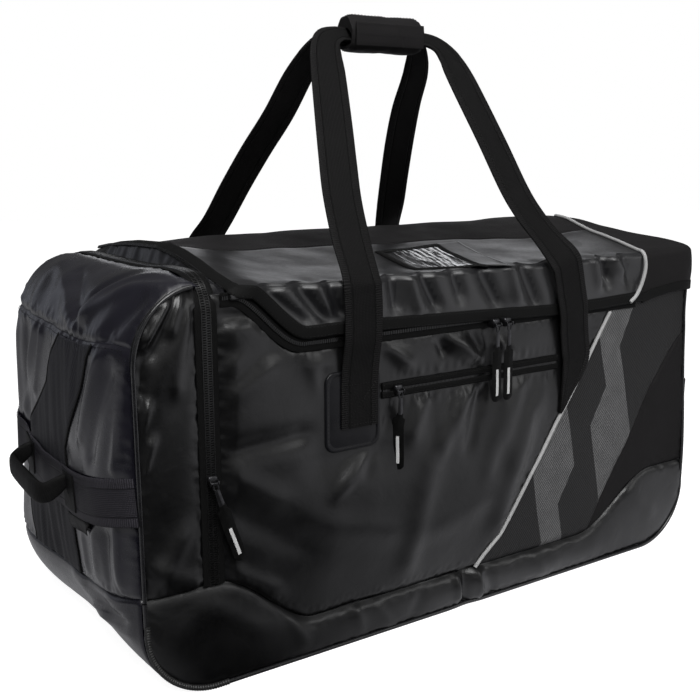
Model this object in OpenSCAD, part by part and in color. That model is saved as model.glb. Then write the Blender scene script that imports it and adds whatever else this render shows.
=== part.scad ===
// Hockey equipment bag: a soft holdall with a zipped lid, a zipped skate pocket in its left end,
// a zipped front pocket, and two webbing handles that a padded wrap holds together.
// Length runs along X, the front face looks along -Y, and the bag stands on Z = 0.

/* [Body] */
// Length between the flat rims of the two ends
bag_length = 830; // [800:10:880]
// Depth from the front face to the rear face
bag_depth = 400; // [380:10:440]
// Height of the fold along the top of the front face
bag_height = 430; // [420:5:445]
// Radius of the lower corners of the front and rear faces
base_corner = 82; // [70:1:90]
// Radius of the upper corner over the skate pocket
shoulder = 70; // [62:1:74]
// Thickness of a coated panel with its lining
cloth = 2; // [1.6:0.1:2.4]
// How far the end panels swell outward
end_swell = 22; // [12:1:26]

/* [Lid] */
// Height of the lower edge of the lid's front skirt
skirt_edge = 373; // [370:1:378]
// Rise of the lid behind its middle
crown_rise = 24; // [14:1:28]
// Further rise of the lid's left edge
left_rise = 17; // [8:1:20]
// Further rise of the hood
hood_rise = 14; // [6:1:16]
// How far the hood stands out past the right end
hood_out = 9; // [7:1:12]

/* [Skate pocket] */
// Distance of the skate pocket's zip from the left end
skate_depth = 80; // [74:1:90]

/* [Guards] */
// Height of the lower guard between the ends
guard_low = 48; // [44:1:60]
// Height of the lower guard at the ends
guard_end = 120; // [112:1:124]

/* [Webbing] */
// Width of the handle webbing
web_width = 50; // [44:1:52]
// Thickness of the handle webbing
web_thick = 2.4; // [1.8:0.1:3]
// Lean of each handle loop from upright, in degrees
loop_lean = 36.8; // [36.6:0.1:37.2]
// Length of the padded wrap
wrap_length = 112; // [100:1:120]
// Height of the padded wrap
wrap_height = 46; // [44:1:52]
// Thickness of the padded wrap from front to rear
wrap_depth = 44; // [44:1:50]

/* [Zips] */
// Width of each half of a zip's tape
tape_width = 11.6; // [9:0.1:11.6]
// Width of a slider
slider_width = 12; // [10:1:14]
// Length of a pull from its pin to its end
pull_length = 102; // [80:1:110]

/* [Hidden] */
$fn = 48;

half_l = bag_length / 2;
half_d = bag_depth / 2;
shell_y = half_d - cloth;
gap = 0.3;
coated = [0.12, 0.12, 0.13];
nylon = [0.07, 0.07, 0.08];
webbing = [0.1, 0.1, 0.1];
zip_black = [0.05, 0.05, 0.05];
silver = [0.66, 0.66, 0.66];

// Places along the front face, measured from the middle of the bag
zip_x = skate_depth - half_l;
panel_left = zip_x + tape_width + 0.4;
flap_right = zip_x - tape_width - 0.4;
lid_left = zip_x + 26;
lid_zip_z = skirt_edge - 11;
pocket_zip_z = 300;
pocket_x = [-119, 148];
left_strap_x = -153;
right_strap_x = 181;
rear_strap_x = [-155, 165];
hood_x = 299;
pouch_x = [-125, 165];
pouch_z = [110, 313];
pouch_depth = 14;

// Smooth rise from 0 to 1
function ease(t) = let (u = min(1, max(0, t))) u * u * (3 - 2 * u);

// Height of the seam over the lower guard
function guard_z(x) = guard_low + (guard_end - guard_low)
    * (1 - ease((x + half_l - 85) / 120) + ease((x - half_l + 210) / 145));

// The slanted seam with the reflective piping, and the seam at the right of the mesh
trim = [[248, lid_zip_z], [83, 118], [50, 74], [20, guard_low]];
seam_foot = half_l - 187;
mesh_seam = [[half_l - 112, 184], [half_l - 79, 240], [half_l, 318]];

// Height of the front panel's upper edge, which climbs to the fold at the left
function panel_top(x) = bag_height - cloth
    - (bag_height - cloth - lid_zip_z) * ease((x - panel_left - 8) / 85);

// Height of the skirt's lower edge, which climbs to the fold at the left
function skirt_low(x) = bag_height - (bag_height - skirt_edge) * ease((x - lid_left - 3.5) / 85);

// Points of a curve over x, every 10 mm
function run(f, x0, x1) = let (n = ceil(abs(x1 - x0) / 10))
    [for (i = [0:n]) let (x = x0 + (x1 - x0) * i / n) [x, f(x)]];

function reversed(list) = [for (i = [len(list) - 1:-1:0]) list[i]];
function shifted(list, d) = [for (p = list) p + d];

// Rise of the top over the fold: low along the skate pocket's zip, then a step up to the lid,
// which sags in its middle and is highest behind it
zip_rise = 4;
function lid_rise(x, y) = crown_rise * sin(180 * pow((y + half_d) / bag_depth, 2.2))
        * (0.35 + 0.65 * ease((x - lid_left) / 150)) * (1 - 0.35 * ease((x - 230) / 150))
    + pow(max(0, cos(90 * y / half_d)), 0.6)
        * (left_rise * exp(-pow((x - lid_left) / 70, 2)) + hood_rise * ease((x - 230) / 150));
function crown(x, y) = let (up = ease((x - panel_left) / (lid_left - 3 - panel_left)))
    (1 - up) * zip_rise * cos(90 * y / half_d) + up * lid_rise(x, y);

// A point on the lid, on a swollen end, and on the shoulder over the skate pocket
function lid_at(x, y) = [x, y, bag_height + crown(x, y)];
function end_at(y, z, top) = [
    -half_l - end_swell * (1 - pow(y / half_d, 2))
        * sin(180 * min(1, max(0, (z - guard_end) / (top - guard_end)))),
    y, z];
function shoulder_at(a, y) = [
    shoulder - half_l - shoulder * cos(a), y,
    bag_height - shoulder + shoulder * sin(a) + crown(-half_l, y) * pow(sin(a), 2)];

// Where the hood meets the lid panel, and the hood's way over the right edge and down
function hood_left(y) = min(half_l - 17, hood_x + 0.37 * (y + half_d));
function hood_at(u, y) = let (
        r = 24,
        side = half_l + hood_out,
        top = bag_height + crown(side - r, y),
        turn = side - r)
    u < 0.5 ? lid_at(hood_left(y) + (turn - hood_left(y)) * u / 0.5, y)
    : u < 0.8 ? let (a = 90 * (u - 0.5) / 0.3) [turn + r * sin(a), y, top - r * (1 - cos(a))]
    : [side, y, top - r - (top - r - lid_zip_z + 4) * (u - 0.8) / 0.2];

// A point that stands off a surface by h, square to its run along u
function lifted(f, u, y, h) = let (
        a = f(max(0, u - 0.01), y),
        b = f(min(1, u + 0.01), y),
        d = [b[0] - a[0], b[2] - a[2]] / norm([b[0] - a[0], b[2] - a[2]]))
    f(u, y) + h * [-d[1], 0, d[0]];

// A cloth sheet between two offsets from the surface f(u, y)
module sheet(f, y0, y1, low, high, nu, nv) {
    cells = [for (i = [0:nu], j = [0:nv]) [i / nu, y0 + (y1 - y0) * j / nv]];
    points = concat(
        [for (c = cells) lifted(f, c[0], c[1], high)],
        [for (c = cells) lifted(f, c[0], c[1], low)]);
    n = len(cells);
    row = nv + 1;
    quads = [for (i = [0:nu - 1], j = [0:nv - 1]) let (a = i * row + j)
        [a, a + 1, a + row + 1, a + row]];
    rim = concat(
        [for (j = [0:nv - 1]) j],
        [for (i = [0:nu - 1]) i * row + nv],
        [for (j = [nv:-1:1]) nu * row + j],
        [for (i = [nu:-1:1]) i * row]);
    m = len(rim);
    polyhedron(points, concat(
        [for (q = quads) [q[0], q[1], q[2]]],
        [for (q = quads) [q[0], q[2], q[3]]],
        [for (q = quads) [q[2] + n, q[1] + n, q[0] + n]],
        [for (q = quads) [q[3] + n, q[2] + n, q[0] + n]],
        [for (i = [0:m - 1]) [rim[(i + 1) % m], rim[i], rim[i] + n]],
        [for (i = [0:m - 1]) [rim[(i + 1) % m], rim[i] + n, rim[(i + 1) % m] + n]]));
}

// A round cord along points, with rings square to the path
module tube(path, r, sides = 8) {
    n = len(path);
    rings = [for (i = [0:n - 1]) let (
            d = path[min(n - 1, i + 1)] - path[max(0, i - 1)],
            t = d / norm(d),
            side = cross(t, abs(t[1]) < 0.8 ? [0, 1, 0] : [0, 0, 1]),
            s = side / norm(side),
            c = cross(s, t))
        for (k = [0:sides - 1]) path[i] + r * (cos(360 * k / sides) * s + sin(360 * k / sides) * c)];
    polyhedron(rings, concat(
        [[for (k = [sides - 1:-1:0]) k]],
        [[for (k = [0:sides - 1]) (n - 1) * sides + k]],
        [for (i = [0:n - 2], k = [0:sides - 1])
            [(i + 1) * sides + (k + 1) % sides, (i + 1) * sides + k, i * sides + k]],
        [for (i = [0:n - 2], k = [0:sides - 1])
            [i * sides + (k + 1) % sides, (i + 1) * sides + (k + 1) % sides, i * sides + k]]));
}

// Outline of the front face, drawn in by an inset
module face_outline(inset = 0) {
    r = base_corner - inset;
    s = shoulder - inset;
    w = half_l - inset;
    translate([-w, base_corner]) square([2 * w, bag_height - shoulder - base_corner]);
    translate([base_corner - half_l, inset]) square([bag_length - 2 * base_corner, base_corner]);
    for (side = [-1, 1]) translate([side * (half_l - base_corner), base_corner]) circle(r);
    translate([shoulder - half_l, bag_height - shoulder - 1])
        square([half_l - shoulder + w, shoulder + 1 - inset]);
    translate([shoulder - half_l, bag_height - shoulder]) circle(s);
}

// A flat shape in X and Z made into a plate whose outer face is at y
module plate(y, thick) {
    translate([0, y + thick, 0]) rotate([90, 0, 0]) linear_extrude(thick) children();
}

// A band drawn in Y and Z, made width wide along X about its middle
module across(width) {
    rotate([90, 0, 90]) translate([0, 0, -width / 2]) linear_extrude(width) children();
}

module rear() {
    mirror([0, 1, 0]) children();
}

// The sole turns up round both lower corners, and an end strip is sewn on above each
module base_gusset() {
    color(coated) translate([0, shell_y, 0]) rotate([90, 0, 0]) linear_extrude(2 * shell_y) difference() {
        intersection() {
            face_outline();
            translate([-half_l, 0]) square([bag_length, guard_end - 0.5]);
        }
        face_outline(cloth);
        translate([-half_l - 1, base_corner + 0.3]) square([bag_length + 2, 0.3]);
    }
}

module guard() {
    color(coated) plate(-half_d, cloth) intersection() {
        face_outline();
        polygon(concat(
            shifted(run(function(x) guard_z(x), -half_l, half_l), [0, -gap]),
            [[half_l, 0], [-half_l, 0]]));
    }
}

module front_guard() {
    guard();
}

module rear_guard() {
    rear() guard();
}

module front_panel() {
    color(coated) plate(-half_d, cloth) difference() {
        polygon(concat(
            shifted(run(function(x) guard_z(x), panel_left, trim[3][0] - 1), [0, gap]),
            [for (i = [2:-1:0]) trim[i] - [1, 0]],
            run(function(x) panel_top(x), panel_left + 95, panel_left)));
        translate([pocket_x[0], pocket_zip_z - 4]) square([pocket_x[1] - pocket_x[0], 8]);
    }
}

module mesh_vent_panel() {
    color([0.16, 0.16, 0.17]) plate(-half_d, cloth) polygon(concat(
        [for (i = [0:2]) trim[i] + [1, 0]],
        shifted(run(function(x) guard_z(x), trim[3][0] + 2, seam_foot - 1), [0, gap]),
        shifted(mesh_seam, [-1, 0]),
        [[half_l - 1, lid_zip_z]]));
}

module right_corner_panel() {
    color(nylon) plate(-half_d, cloth) polygon(concat(
        shifted(run(function(x) guard_z(x), seam_foot + 1, half_l), [0, gap]),
        [mesh_seam[2] - [0, 1.5], mesh_seam[1] + [1, 0], mesh_seam[0] + [1, 0]]));
}

module rear_panel() {
    color(coated) rear() plate(-half_d, cloth) polygon(concat(
        shifted(run(function(x) guard_z(x), panel_left, half_l), [0, gap]),
        [[half_l, bag_height - cloth - 0.5], [panel_left, bag_height - cloth - 0.5]]));
}

// The right end has a flat rim over its swell for the lid's zip
right_swell_top = lid_zip_z - 20;
module right_end_panel() {
    color(coated) mirror([1, 0, 0]) sheet(
        function(u, y) end_at(y, guard_end + (lid_zip_z - 3 - guard_end) * u, right_swell_top),
        -shell_y + gap, shell_y - gap, -cloth, 0, 20, 20);
}

module divider_panel() {
    color(nylon) translate([panel_left - cloth, -shell_y, cloth])
        cube([cloth - gap, 2 * shell_y, bag_height - 2 * cloth - 2]);
}

module top_left_strip() {
    color(coated) sheet(
        function(u, y) lid_at(panel_left + (lid_left - 1 - panel_left) * u, y),
        -shell_y + gap, shell_y - gap, -cloth, 0, 7, 24);
}

module front_pocket_pouch() {
    wall = 1.5;
    wide = pouch_x[1] - pouch_x[0];
    tall = pouch_z[1] - pouch_z[0];
    color(nylon) translate([pouch_x[0], -shell_y, pouch_z[0]]) difference() {
        cube([wide, pouch_depth, tall]);
        translate([wall, -1, wall]) cube([wide - 2 * wall, pouch_depth - wall + 1, tall - 2 * wall]);
    }
}

module pocket_zip_tape() {
    long = pocket_x[1] - pocket_x[0];
    color(zip_black) translate([pocket_x[0], -half_d, pocket_zip_z]) {
        translate([-4, -1, -9]) cube([long + 8, 1, 18]);
        translate([0, -1.5, 0]) rotate([0, 90, 0]) cylinder(h = long, r = 1.5);
    }
}

// A slider whose block stands depth deep off y = 0, with a pin between two cheeks
pin_r = 1.2;
pin_out = 2.7;
module slider(depth) {
    color([0.2, 0.2, 0.2]) {
        translate([-slider_width / 2, -depth, -5]) cube([slider_width, depth, 10.5]);
        for (side = [-1, 1]) translate([side * (slider_width / 2 - 0.6) - 0.6, -depth - pin_out - 2, -3.5])
            cube([1.2, pin_out + 3, 5]);
        translate([-slider_width / 2 + 0.2, -depth - pin_out, -1]) rotate([0, 90, 0])
            cylinder(h = slider_width - 0.4, r = pin_r);
    }
}

// A pull that hangs from the pin of a slider of that depth
module pull(depth, turn = 0) {
    ring = slider_width - 3.2;
    color(webbing) translate([0, -depth - pin_out, -1]) difference() {
        union() {
            translate([-ring / 2, 0, 0]) rotate([0, 90, 0]) cylinder(h = ring, r = 2.3);
            rotate([0, turn, 0]) {
                translate([-3, -1, -14]) cube([6, 2, 14]);
                translate([-6, -1.2, 12 - pull_length]) cube([12, 2.4, pull_length - 24]);
                translate([0, 1.2, -12]) rotate([90, 0, 0]) cylinder(h = 2.4, r = 6);
                translate([0, 1.2, 12 - pull_length]) rotate([90, 0, 0]) cylinder(h = 2.4, r = 6);
            }
        }
        translate([-20, 0, 0]) rotate([0, 90, 0]) cylinder(h = 40, r = pin_r + 0.08);
    }
}

coil_front = half_d + 3;
pocket_place = [-102, -coil_front - gap, pocket_zip_z];
lid_place = [[36, -coil_front - gap, lid_zip_z + 1], [54, -coil_front - gap, lid_zip_z + 1]];
skate_place = [zip_x, -coil_front - gap, 236];
pocket_slider_depth = 4;
lid_slider_depth = 10;

module pocket_slider() {
    translate(pocket_place) slider(pocket_slider_depth);
}

module pocket_pull() {
    translate(pocket_place) pull(pocket_slider_depth);
}

module lid_slider_left() {
    translate(lid_place[0]) slider(lid_slider_depth);
}

module lid_pull_left() {
    translate(lid_place[0]) pull(lid_slider_depth);
}

module lid_slider_right() {
    translate(lid_place[1]) slider(lid_slider_depth);
}

module lid_pull_right() {
    translate(lid_place[1]) pull(lid_slider_depth);
}

module skate_slider() {
    translate(skate_place) slider(pocket_slider_depth);
}

module skate_pull() {
    translate(skate_place) pull(pocket_slider_depth, -17);
}

lid_zip_start = lid_left + 105;
lid_zip_length = hood_x - 4 - lid_zip_start;
module lid_zip_body_tape() {
    color(zip_black) {
        translate([lid_zip_start, -half_d, lid_zip_z]) {
            translate([0, -1, -12]) cube([lid_zip_length, 1, 13]);
            translate([0, -1.5, 0.5]) rotate([0, 90, 0]) cylinder(h = lid_zip_length, r = 1.5);
        }
        translate([half_l + 0.8, -half_d + 6, lid_zip_z - 17]) cube([1, bag_depth - 20, 13]);
    }
}

module lid_zip_lid_tape() {
    color(zip_black) {
        translate([lid_zip_start, -half_d - 0.3, skirt_edge - 5]) cube([lid_zip_length, 0.8, 14]);
        translate([half_l + hood_out - cloth - 1.5, -half_d + 6, lid_zip_z]) cube([1, bag_depth - 20, 13]);
    }
}

// One half of the skate pocket's zip, up the front, over the top and down the rear
module skate_tape(x0, x1) {
    for (side = [0, 1]) mirror([0, side, 0]) translate([x0, -half_d, guard_end + 1])
        cube([x1 - x0, 1, bag_height - guard_end - 2]);
    sheet(function(u, y) lid_at(x0 + (x1 - x0) * u, y), -half_d + 0.5, half_d - 0.5, -1.2, 0, 1, 24);
}

module skate_zip_body_tape() {
    color(zip_black) {
        skate_tape(zip_x + 0.3, zip_x + tape_width);
        for (side = [0, 1]) mirror([0, side, 0]) translate([zip_x + 1.9, -half_d - 1.4, guard_end + 4])
            cylinder(h = bag_height - guard_end - 10, r = 1.5);
    }
}

module skate_zip_flap_tape() {
    color(zip_black) skate_tape(zip_x - tape_width, zip_x - 0.3);
}

module patch(x) {
    r = 12;
    color(coated) translate([x, 0, 284]) plate(-half_d - 1.6, 1.6) union() {
        square([72 - 2 * r, 92], center = true);
        square([72, 92 - 2 * r], center = true);
        for (a = [-1, 1], b = [-1, 1]) translate([a * (36 - r), b * (46 - r)]) circle(r);
    }
}

module front_left_patch() {
    patch(-161);
}

module rear_left_patch() {
    rear() patch(rear_strap_x[0]);
}

module rear_right_patch() {
    rear() patch(rear_strap_x[1]);
}

// Handle pivots lie clear of the lid's skirt, level with the fold
pivot_y = half_d + 12.5;
strap_sewn = half_d + 2;
module sewn_strap() {
    t = web_thick;
    back = -pivot_y + t / 2;
    color(webbing) across(web_width) polygon([
        [-strap_sewn, 266], [-strap_sewn, 330], [back, skirt_edge - 6], [back, bag_height - 2],
        [back - t, bag_height - 2], [back - t, skirt_edge - 5], [-strap_sewn - t, 331],
        [-strap_sewn - t, 266]]);
}

module front_left_strap() {
    translate([left_strap_x, 0, 0]) sewn_strap();
}

// The right strap slants to the left as it climbs, and ends under the slanted piping
module front_right_strap() {
    slant = -11;
    intersection() {
        translate([right_strap_x - 24, 0, bag_height - 2]) rotate([0, slant, 0])
            translate([0, 0, 2 - bag_height]) sewn_strap();
        translate([0, half_d, 0]) plate(-bag_depth - 40, bag_depth) polygon([
            [0, bag_height - 2], [right_strap_x + 60, bag_height - 2], trim[0] + [-5, 0],
            trim[1] + [-5, 0], [0, trim[1][1]]]);
    }
}

module rear_left_strap() {
    translate([rear_strap_x[0], 0, 0]) rear() sewn_strap();
}

module rear_right_strap() {
    translate([rear_strap_x[1], 0, 0]) rear() sewn_strap();
}

// Middle line of a handle loop as [x, height along the lean, half width]
half_w = web_width / 2;
grip_h = 338;
loop_path = [
    [154, 3, half_w], [146, 40, half_w], [134, 75, half_w], [126, 112, half_w], [120, 180, half_w],
    [114, 250, half_w], [112, 290, half_w - 2], [107, 316, 20], [96, 332, 14], [80, grip_h, 9],
    [-58, grip_h, 9], [-74, 332, 14], [-85, 313, 20], [-92, 286, half_w - 2], [-112, 214, half_w],
    [-130, 155, half_w], [-142, 106, half_w], [-150, 50, half_w], [-156, 3, half_w]];

// One edge of the loop, on the given side of its middle line
function loop_edge(side) = [for (i = [0:len(loop_path) - 1]) let (
        a = loop_path[max(0, i - 1)],
        b = loop_path[min(len(loop_path) - 1, i + 1)],
        d = [b[0] - a[0], b[1] - a[1]] / norm([b[0] - a[0], b[1] - a[1]]),
        p = loop_path[i])
    [p[0] - side * p[2] * d[1], max(3, p[1] + side * p[2] * d[0])]];

module loop() {
    color(webbing) translate([0, -pivot_y, bag_height]) rotate([90 - loop_lean, 0, 0])
        translate([0, 0, -web_thick / 2]) linear_extrude(web_thick)
            polygon(concat(loop_edge(1), reversed(loop_edge(-1))));
}

module front_loop() {
    loop();
}

module rear_loop() {
    rear() loop();
}

// The wrap closes round the two grips, with its flap on the front
wrap_x = 11;
grip_z = bag_height + grip_h * cos(loop_lean);
wrap_z = grip_z + 8.5;
module wrap_shape(depth, height, r) {
    square([depth - 2 * r, height], center = true);
    square([depth, height - 2 * r], center = true);
    for (a = [-1, 1], b = [-1, 1]) translate([a * (depth / 2 - r), b * (height / 2 - r)]) circle(r);
}

module grip_wrap() {
    color(nylon) translate([wrap_x, 0, wrap_z]) across(wrap_length) difference() {
        wrap_shape(wrap_depth, wrap_height, 14);
        translate([-18.5, -18.2]) square([37, 19.4]);
    }
}

flap_hinge = [-wrap_depth / 2 - 1.6, wrap_z + wrap_height / 2 - 10];
module grip_flap() {
    color(nylon) translate([wrap_x, flap_hinge[0], flap_hinge[1]]) across(wrap_length - 6)
        translate([-1.2, -29]) square([2.4, 29]);
}

module lid_top_panel() {
    color([0.31, 0.31, 0.33]) sheet(
        function(u, y) lid_at(lid_left + (hood_left(y) - 1 - lid_left) * u, y),
        -half_d + 0.5, 0, -cloth, 0, 26, 10);
}

module lid_rear_strip() {
    color(nylon) sheet(
        function(u, y) lid_at(lid_left + (hood_left(y) - 1 - lid_left) * u, y),
        0.5, half_d - 2.5, -cloth, 0, 26, 10);
}

skirt_y = -half_d - 2.6;
module lid_front_skirt() {
    color(coated) plate(skirt_y, cloth) polygon(concat(
        run(function(x) skirt_low(x), lid_left, hood_x),
        [[hood_x, bag_height + 0.5], [lid_left, bag_height + 0.5]]));
}

module lid_hood() {
    color(nylon) sheet(function(u, y) hood_at(u, y), -half_d + 0.5, half_d - 12, -cloth, 0, 20, 20);
}

module lid_hood_front() {
    side = half_l + hood_out;
    color(nylon) plate(skirt_y, cloth) difference() {
        translate([hood_x + 0.5, lid_zip_z - 4])
            square([side - hood_x - 0.5, bag_height + 4.5 - lid_zip_z]);
        translate([side - 24, bag_height - 23.5]) difference() {
            square(40);
            circle(24);
        }
    }
}

module lid_binding() {
    color(webbing) plate(skirt_y - 1.8, 1.6) polygon(concat(
        run(function(x) skirt_low(x), lid_left + 22, hood_x - 3),
        reversed(run(function(x) min(bag_height, skirt_low(x) + 13), lid_left + 22, hood_x - 3))));
}

module lid_piping() {
    r = 2.2;
    color(silver) tube(concat(
        [for (z = [skirt_edge + 16, skirt_edge + 34, bag_height - 4]) [hood_x + 1, skirt_y - r - 0.2, z]],
        [[hood_x + 2, skirt_y - r - 0.2, bag_height + 3]],
        [for (i = [0:14]) let (y = -half_d + 4 + i * 18) lid_at(hood_left(y), y) + [0, 0, r + 0.5]]), r);
}

id_x = [-45, 85];
id_y = [-178, -78];
module id_window() {
    color([0.75, 0.77, 0.8, 0.5]) sheet(
        function(u, y) lid_at(id_x[0] + 8.5 + (id_x[1] - id_x[0] - 33) * u, y),
        id_y[0] + 8.5, id_y[1] - 8.5, 0.4, 1.2, 8, 6);
}

module id_frame() {
    long = id_x[1] - id_x[0];
    color(coated) difference() {
        sheet(function(u, y) lid_at(id_x[0] + long * u, y), id_y[0], id_y[1], 0.4, 1.6, 8, 6);
        translate([id_x[0] + 8, id_y[0] + 8, bag_height]) cube([long - 32, id_y[1] - id_y[0] - 16, 60]);
    }
}

// Lifts over the swollen ends: vent strip, then band
end_top = bag_height - shoulder;
module end_panel() {
    color(coated) sheet(
        function(u, y) end_at(y, guard_end + 0.4 + (end_top - guard_end - 0.9) * u, end_top),
        -shell_y + gap, shell_y - gap, -cloth, 0, 20, 20);
}

module end_vent_strip() {
    color([0.16, 0.16, 0.17]) sheet(
        function(u, y) end_at(y, guard_end + 8 + (end_top - guard_end - 16) * u, end_top),
        -50, 50, 0.3, 1.3, 20, 8);
}

band_z = [190, 245];
module band(top) {
    color(webbing) sheet(
        function(u, y) end_at(y, band_z[0] + (band_z[1] - band_z[0]) * u, top),
        -half_d + 6, half_d - 6, 1.8, 1.8 + web_thick, 4, 24);
}

module end_band() {
    band(end_top);
    grab_feet(end_top);
}

module right_band() {
    mirror([1, 0, 0]) {
        band(right_swell_top);
        grab_feet(right_swell_top);
    }
}

module end_label() {
    color([0.2, 0.2, 0.21]) sheet(
        function(u, y) end_at(y, 166 + 20 * u, end_top), -92, -58, 0.4, 1.4, 2, 4);
}

// A grab handle swings about the line through its two feet
grab_x = -half_l - end_swell - 10.5;
grab_z = 217;
grab_half = 68;
grab_reach = 28;
module grab_feet(top) {
    color(webbing) for (side = [-1, 1]) intersection() {
        translate([grab_x + 5.5, side * grab_half - 6, grab_z - 10]) cube([20, 12, 20]);
        sheet(function(u, y) end_at(y, grab_z - 12 + 24 * u, top), -half_d / 2, half_d / 2, 2, 12, 4, 16);
    }
}

module grab_handle() {
    color(webbing) {
        for (side = [-1, 1]) translate([grab_x, side * grab_half, grab_z]) {
            translate([0, -6, 0]) rotate([-90, 0, 0]) cylinder(h = 12, r = 5);
            translate([-grab_reach + 8, -2, -5]) cube([grab_reach - 8, 4, 10]);
        }
        translate([grab_x - grab_reach, 0, grab_z]) linear_extrude(34, center = true) {
            for (side = [-1, 1]) translate([12, side * (grab_half - 10)]) intersection() {
                difference() {
                    circle(12);
                    circle(8);
                }
                translate([-12, side > 0 ? 0 : -12]) square(12);
            }
            translate([0, -grab_half + 10]) square([4, 2 * grab_half - 20]);
            for (side = [-1, 1]) translate([12, side * grab_half - 2]) square([5, 4]);
        }
    }
}

module end_grab_handle() {
    grab_handle();
}

module right_grab_handle() {
    mirror([1, 0, 0]) grab_handle();
}

// Edge piping lies just inside the outline of a face
pipe_r = 2.4;
pipe_in = pipe_r + 0.2;
pipe_y = -half_d - pipe_r - 0.15;
wear_r = 3.4;
wear_in = wear_r + 0.1;
wear_y = -half_d - wear_r - 0.15;
wear_z = 94;
wear_x = 93 - half_l;

module rod_up(x, y, z0, z1, r) {
    translate([x, y, z0]) cylinder(h = z1 - z0, r = r);
}

module rod_along(x0, x1, y, z, r) {
    translate([x0, y, z]) rotate([0, 90, 0]) cylinder(h = x1 - x0, r = r);
}

// A quarter ring in a lower corner of a face; side is -1 for the left
module corner_ring(side, y, big, r) {
    translate([side * (half_l - base_corner), y, base_corner]) rotate([90, 0, 0])
        rotate([0, 0, side < 0 ? 180 : 270]) rotate_extrude(angle = 90) translate([big, 0]) circle(r);
}

module edge_piping() {
    color(nylon) {
        rod_up(pipe_in - half_l, pipe_y, wear_z + 0.5, guard_end - 1.5, pipe_r);
        rod_along(wear_x + 0.5, half_l - base_corner, pipe_y, pipe_in, pipe_r);
        corner_ring(1, pipe_y, base_corner - pipe_in, pipe_r);
        rod_up(half_l - pipe_in, pipe_y, base_corner, lid_zip_z - 20, pipe_r);
    }
}

module front_edge_piping() {
    edge_piping();
}

module rear_edge_piping() {
    rear() edge_piping();
}

module corner_wear_guards() {
    color([0.15, 0.15, 0.15]) for (side = [0, 1]) mirror([0, side, 0]) {
        rod_up(wear_in - half_l, wear_y, base_corner, wear_z, wear_r);
        corner_ring(-1, wear_y, base_corner - wear_in, wear_r);
        rod_along(base_corner - half_l, wear_x, wear_y, wear_in, wear_r);
    }
}

module reflective_piping() {
    r = 2.2;
    y = -half_d - r - 0.2;
    top = trim[0] + (trim[1] - trim[0]) * 0.06;
    color(silver) tube([for (p = concat([top], [for (i = [1:3]) trim[i]])) [p[0], y, p[1] + 1]], r);
}

module flap_piping() {
    color(nylon) for (side = [0, 1]) mirror([0, side, 0]) {
        rod_up(pipe_in - half_l, pipe_y, guard_end + 1.5, end_top, pipe_r);
        translate([shoulder - half_l, pipe_y, end_top]) rotate([90, 0, 0]) rotate([0, 0, 90])
            rotate_extrude(angle = 90) translate([shoulder - pipe_in, 0]) circle(pipe_r);
    }
}

module flap_gusset() {
    color(coated) plate(-half_d, cloth) intersection() {
        face_outline();
        translate([-half_l, guard_end + 0.4]) square([flap_right + half_l, bag_height]);
    }
}

module flap_front_gusset() {
    flap_gusset();
}

module flap_rear_gusset() {
    rear() flap_gusset();
}

module flap_top_gusset() {
    last = acos((shoulder - half_l - flap_right) / shoulder) - 0.5;
    color(coated) sheet(
        function(u, y) shoulder_at(last * u, y), -shell_y + gap, shell_y - gap, -cloth, 0, 10, 24);
}

base_gusset();
front_guard();
rear_guard();
front_panel();
mesh_vent_panel();
right_corner_panel();
rear_panel();
right_end_panel();
divider_panel();
top_left_strip();
front_pocket_pouch();
pocket_zip_tape();
pocket_slider();
pocket_pull();
lid_zip_body_tape();
lid_zip_lid_tape();
lid_slider_left();
lid_pull_left();
lid_slider_right();
lid_pull_right();
skate_zip_body_tape();
skate_zip_flap_tape();
skate_slider();
skate_pull();
front_left_patch();
rear_left_patch();
rear_right_patch();
front_left_strap();
front_right_strap();
rear_left_strap();
rear_right_strap();
front_loop();
rear_loop();
grip_wrap();
grip_flap();
lid_top_panel();
lid_rear_strip();
lid_front_skirt();
lid_hood();
lid_hood_front();
lid_binding();
lid_piping();
id_window();
id_frame();
end_panel();
end_vent_strip();
flap_front_gusset();
flap_rear_gusset();
flap_top_gusset();
end_band();
end_label();
end_grab_handle();
right_band();
right_grab_handle();
reflective_piping();
front_edge_piping();
rear_edge_piping();
flap_piping();
corner_wear_guards();
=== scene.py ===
import itertools
import math

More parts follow.
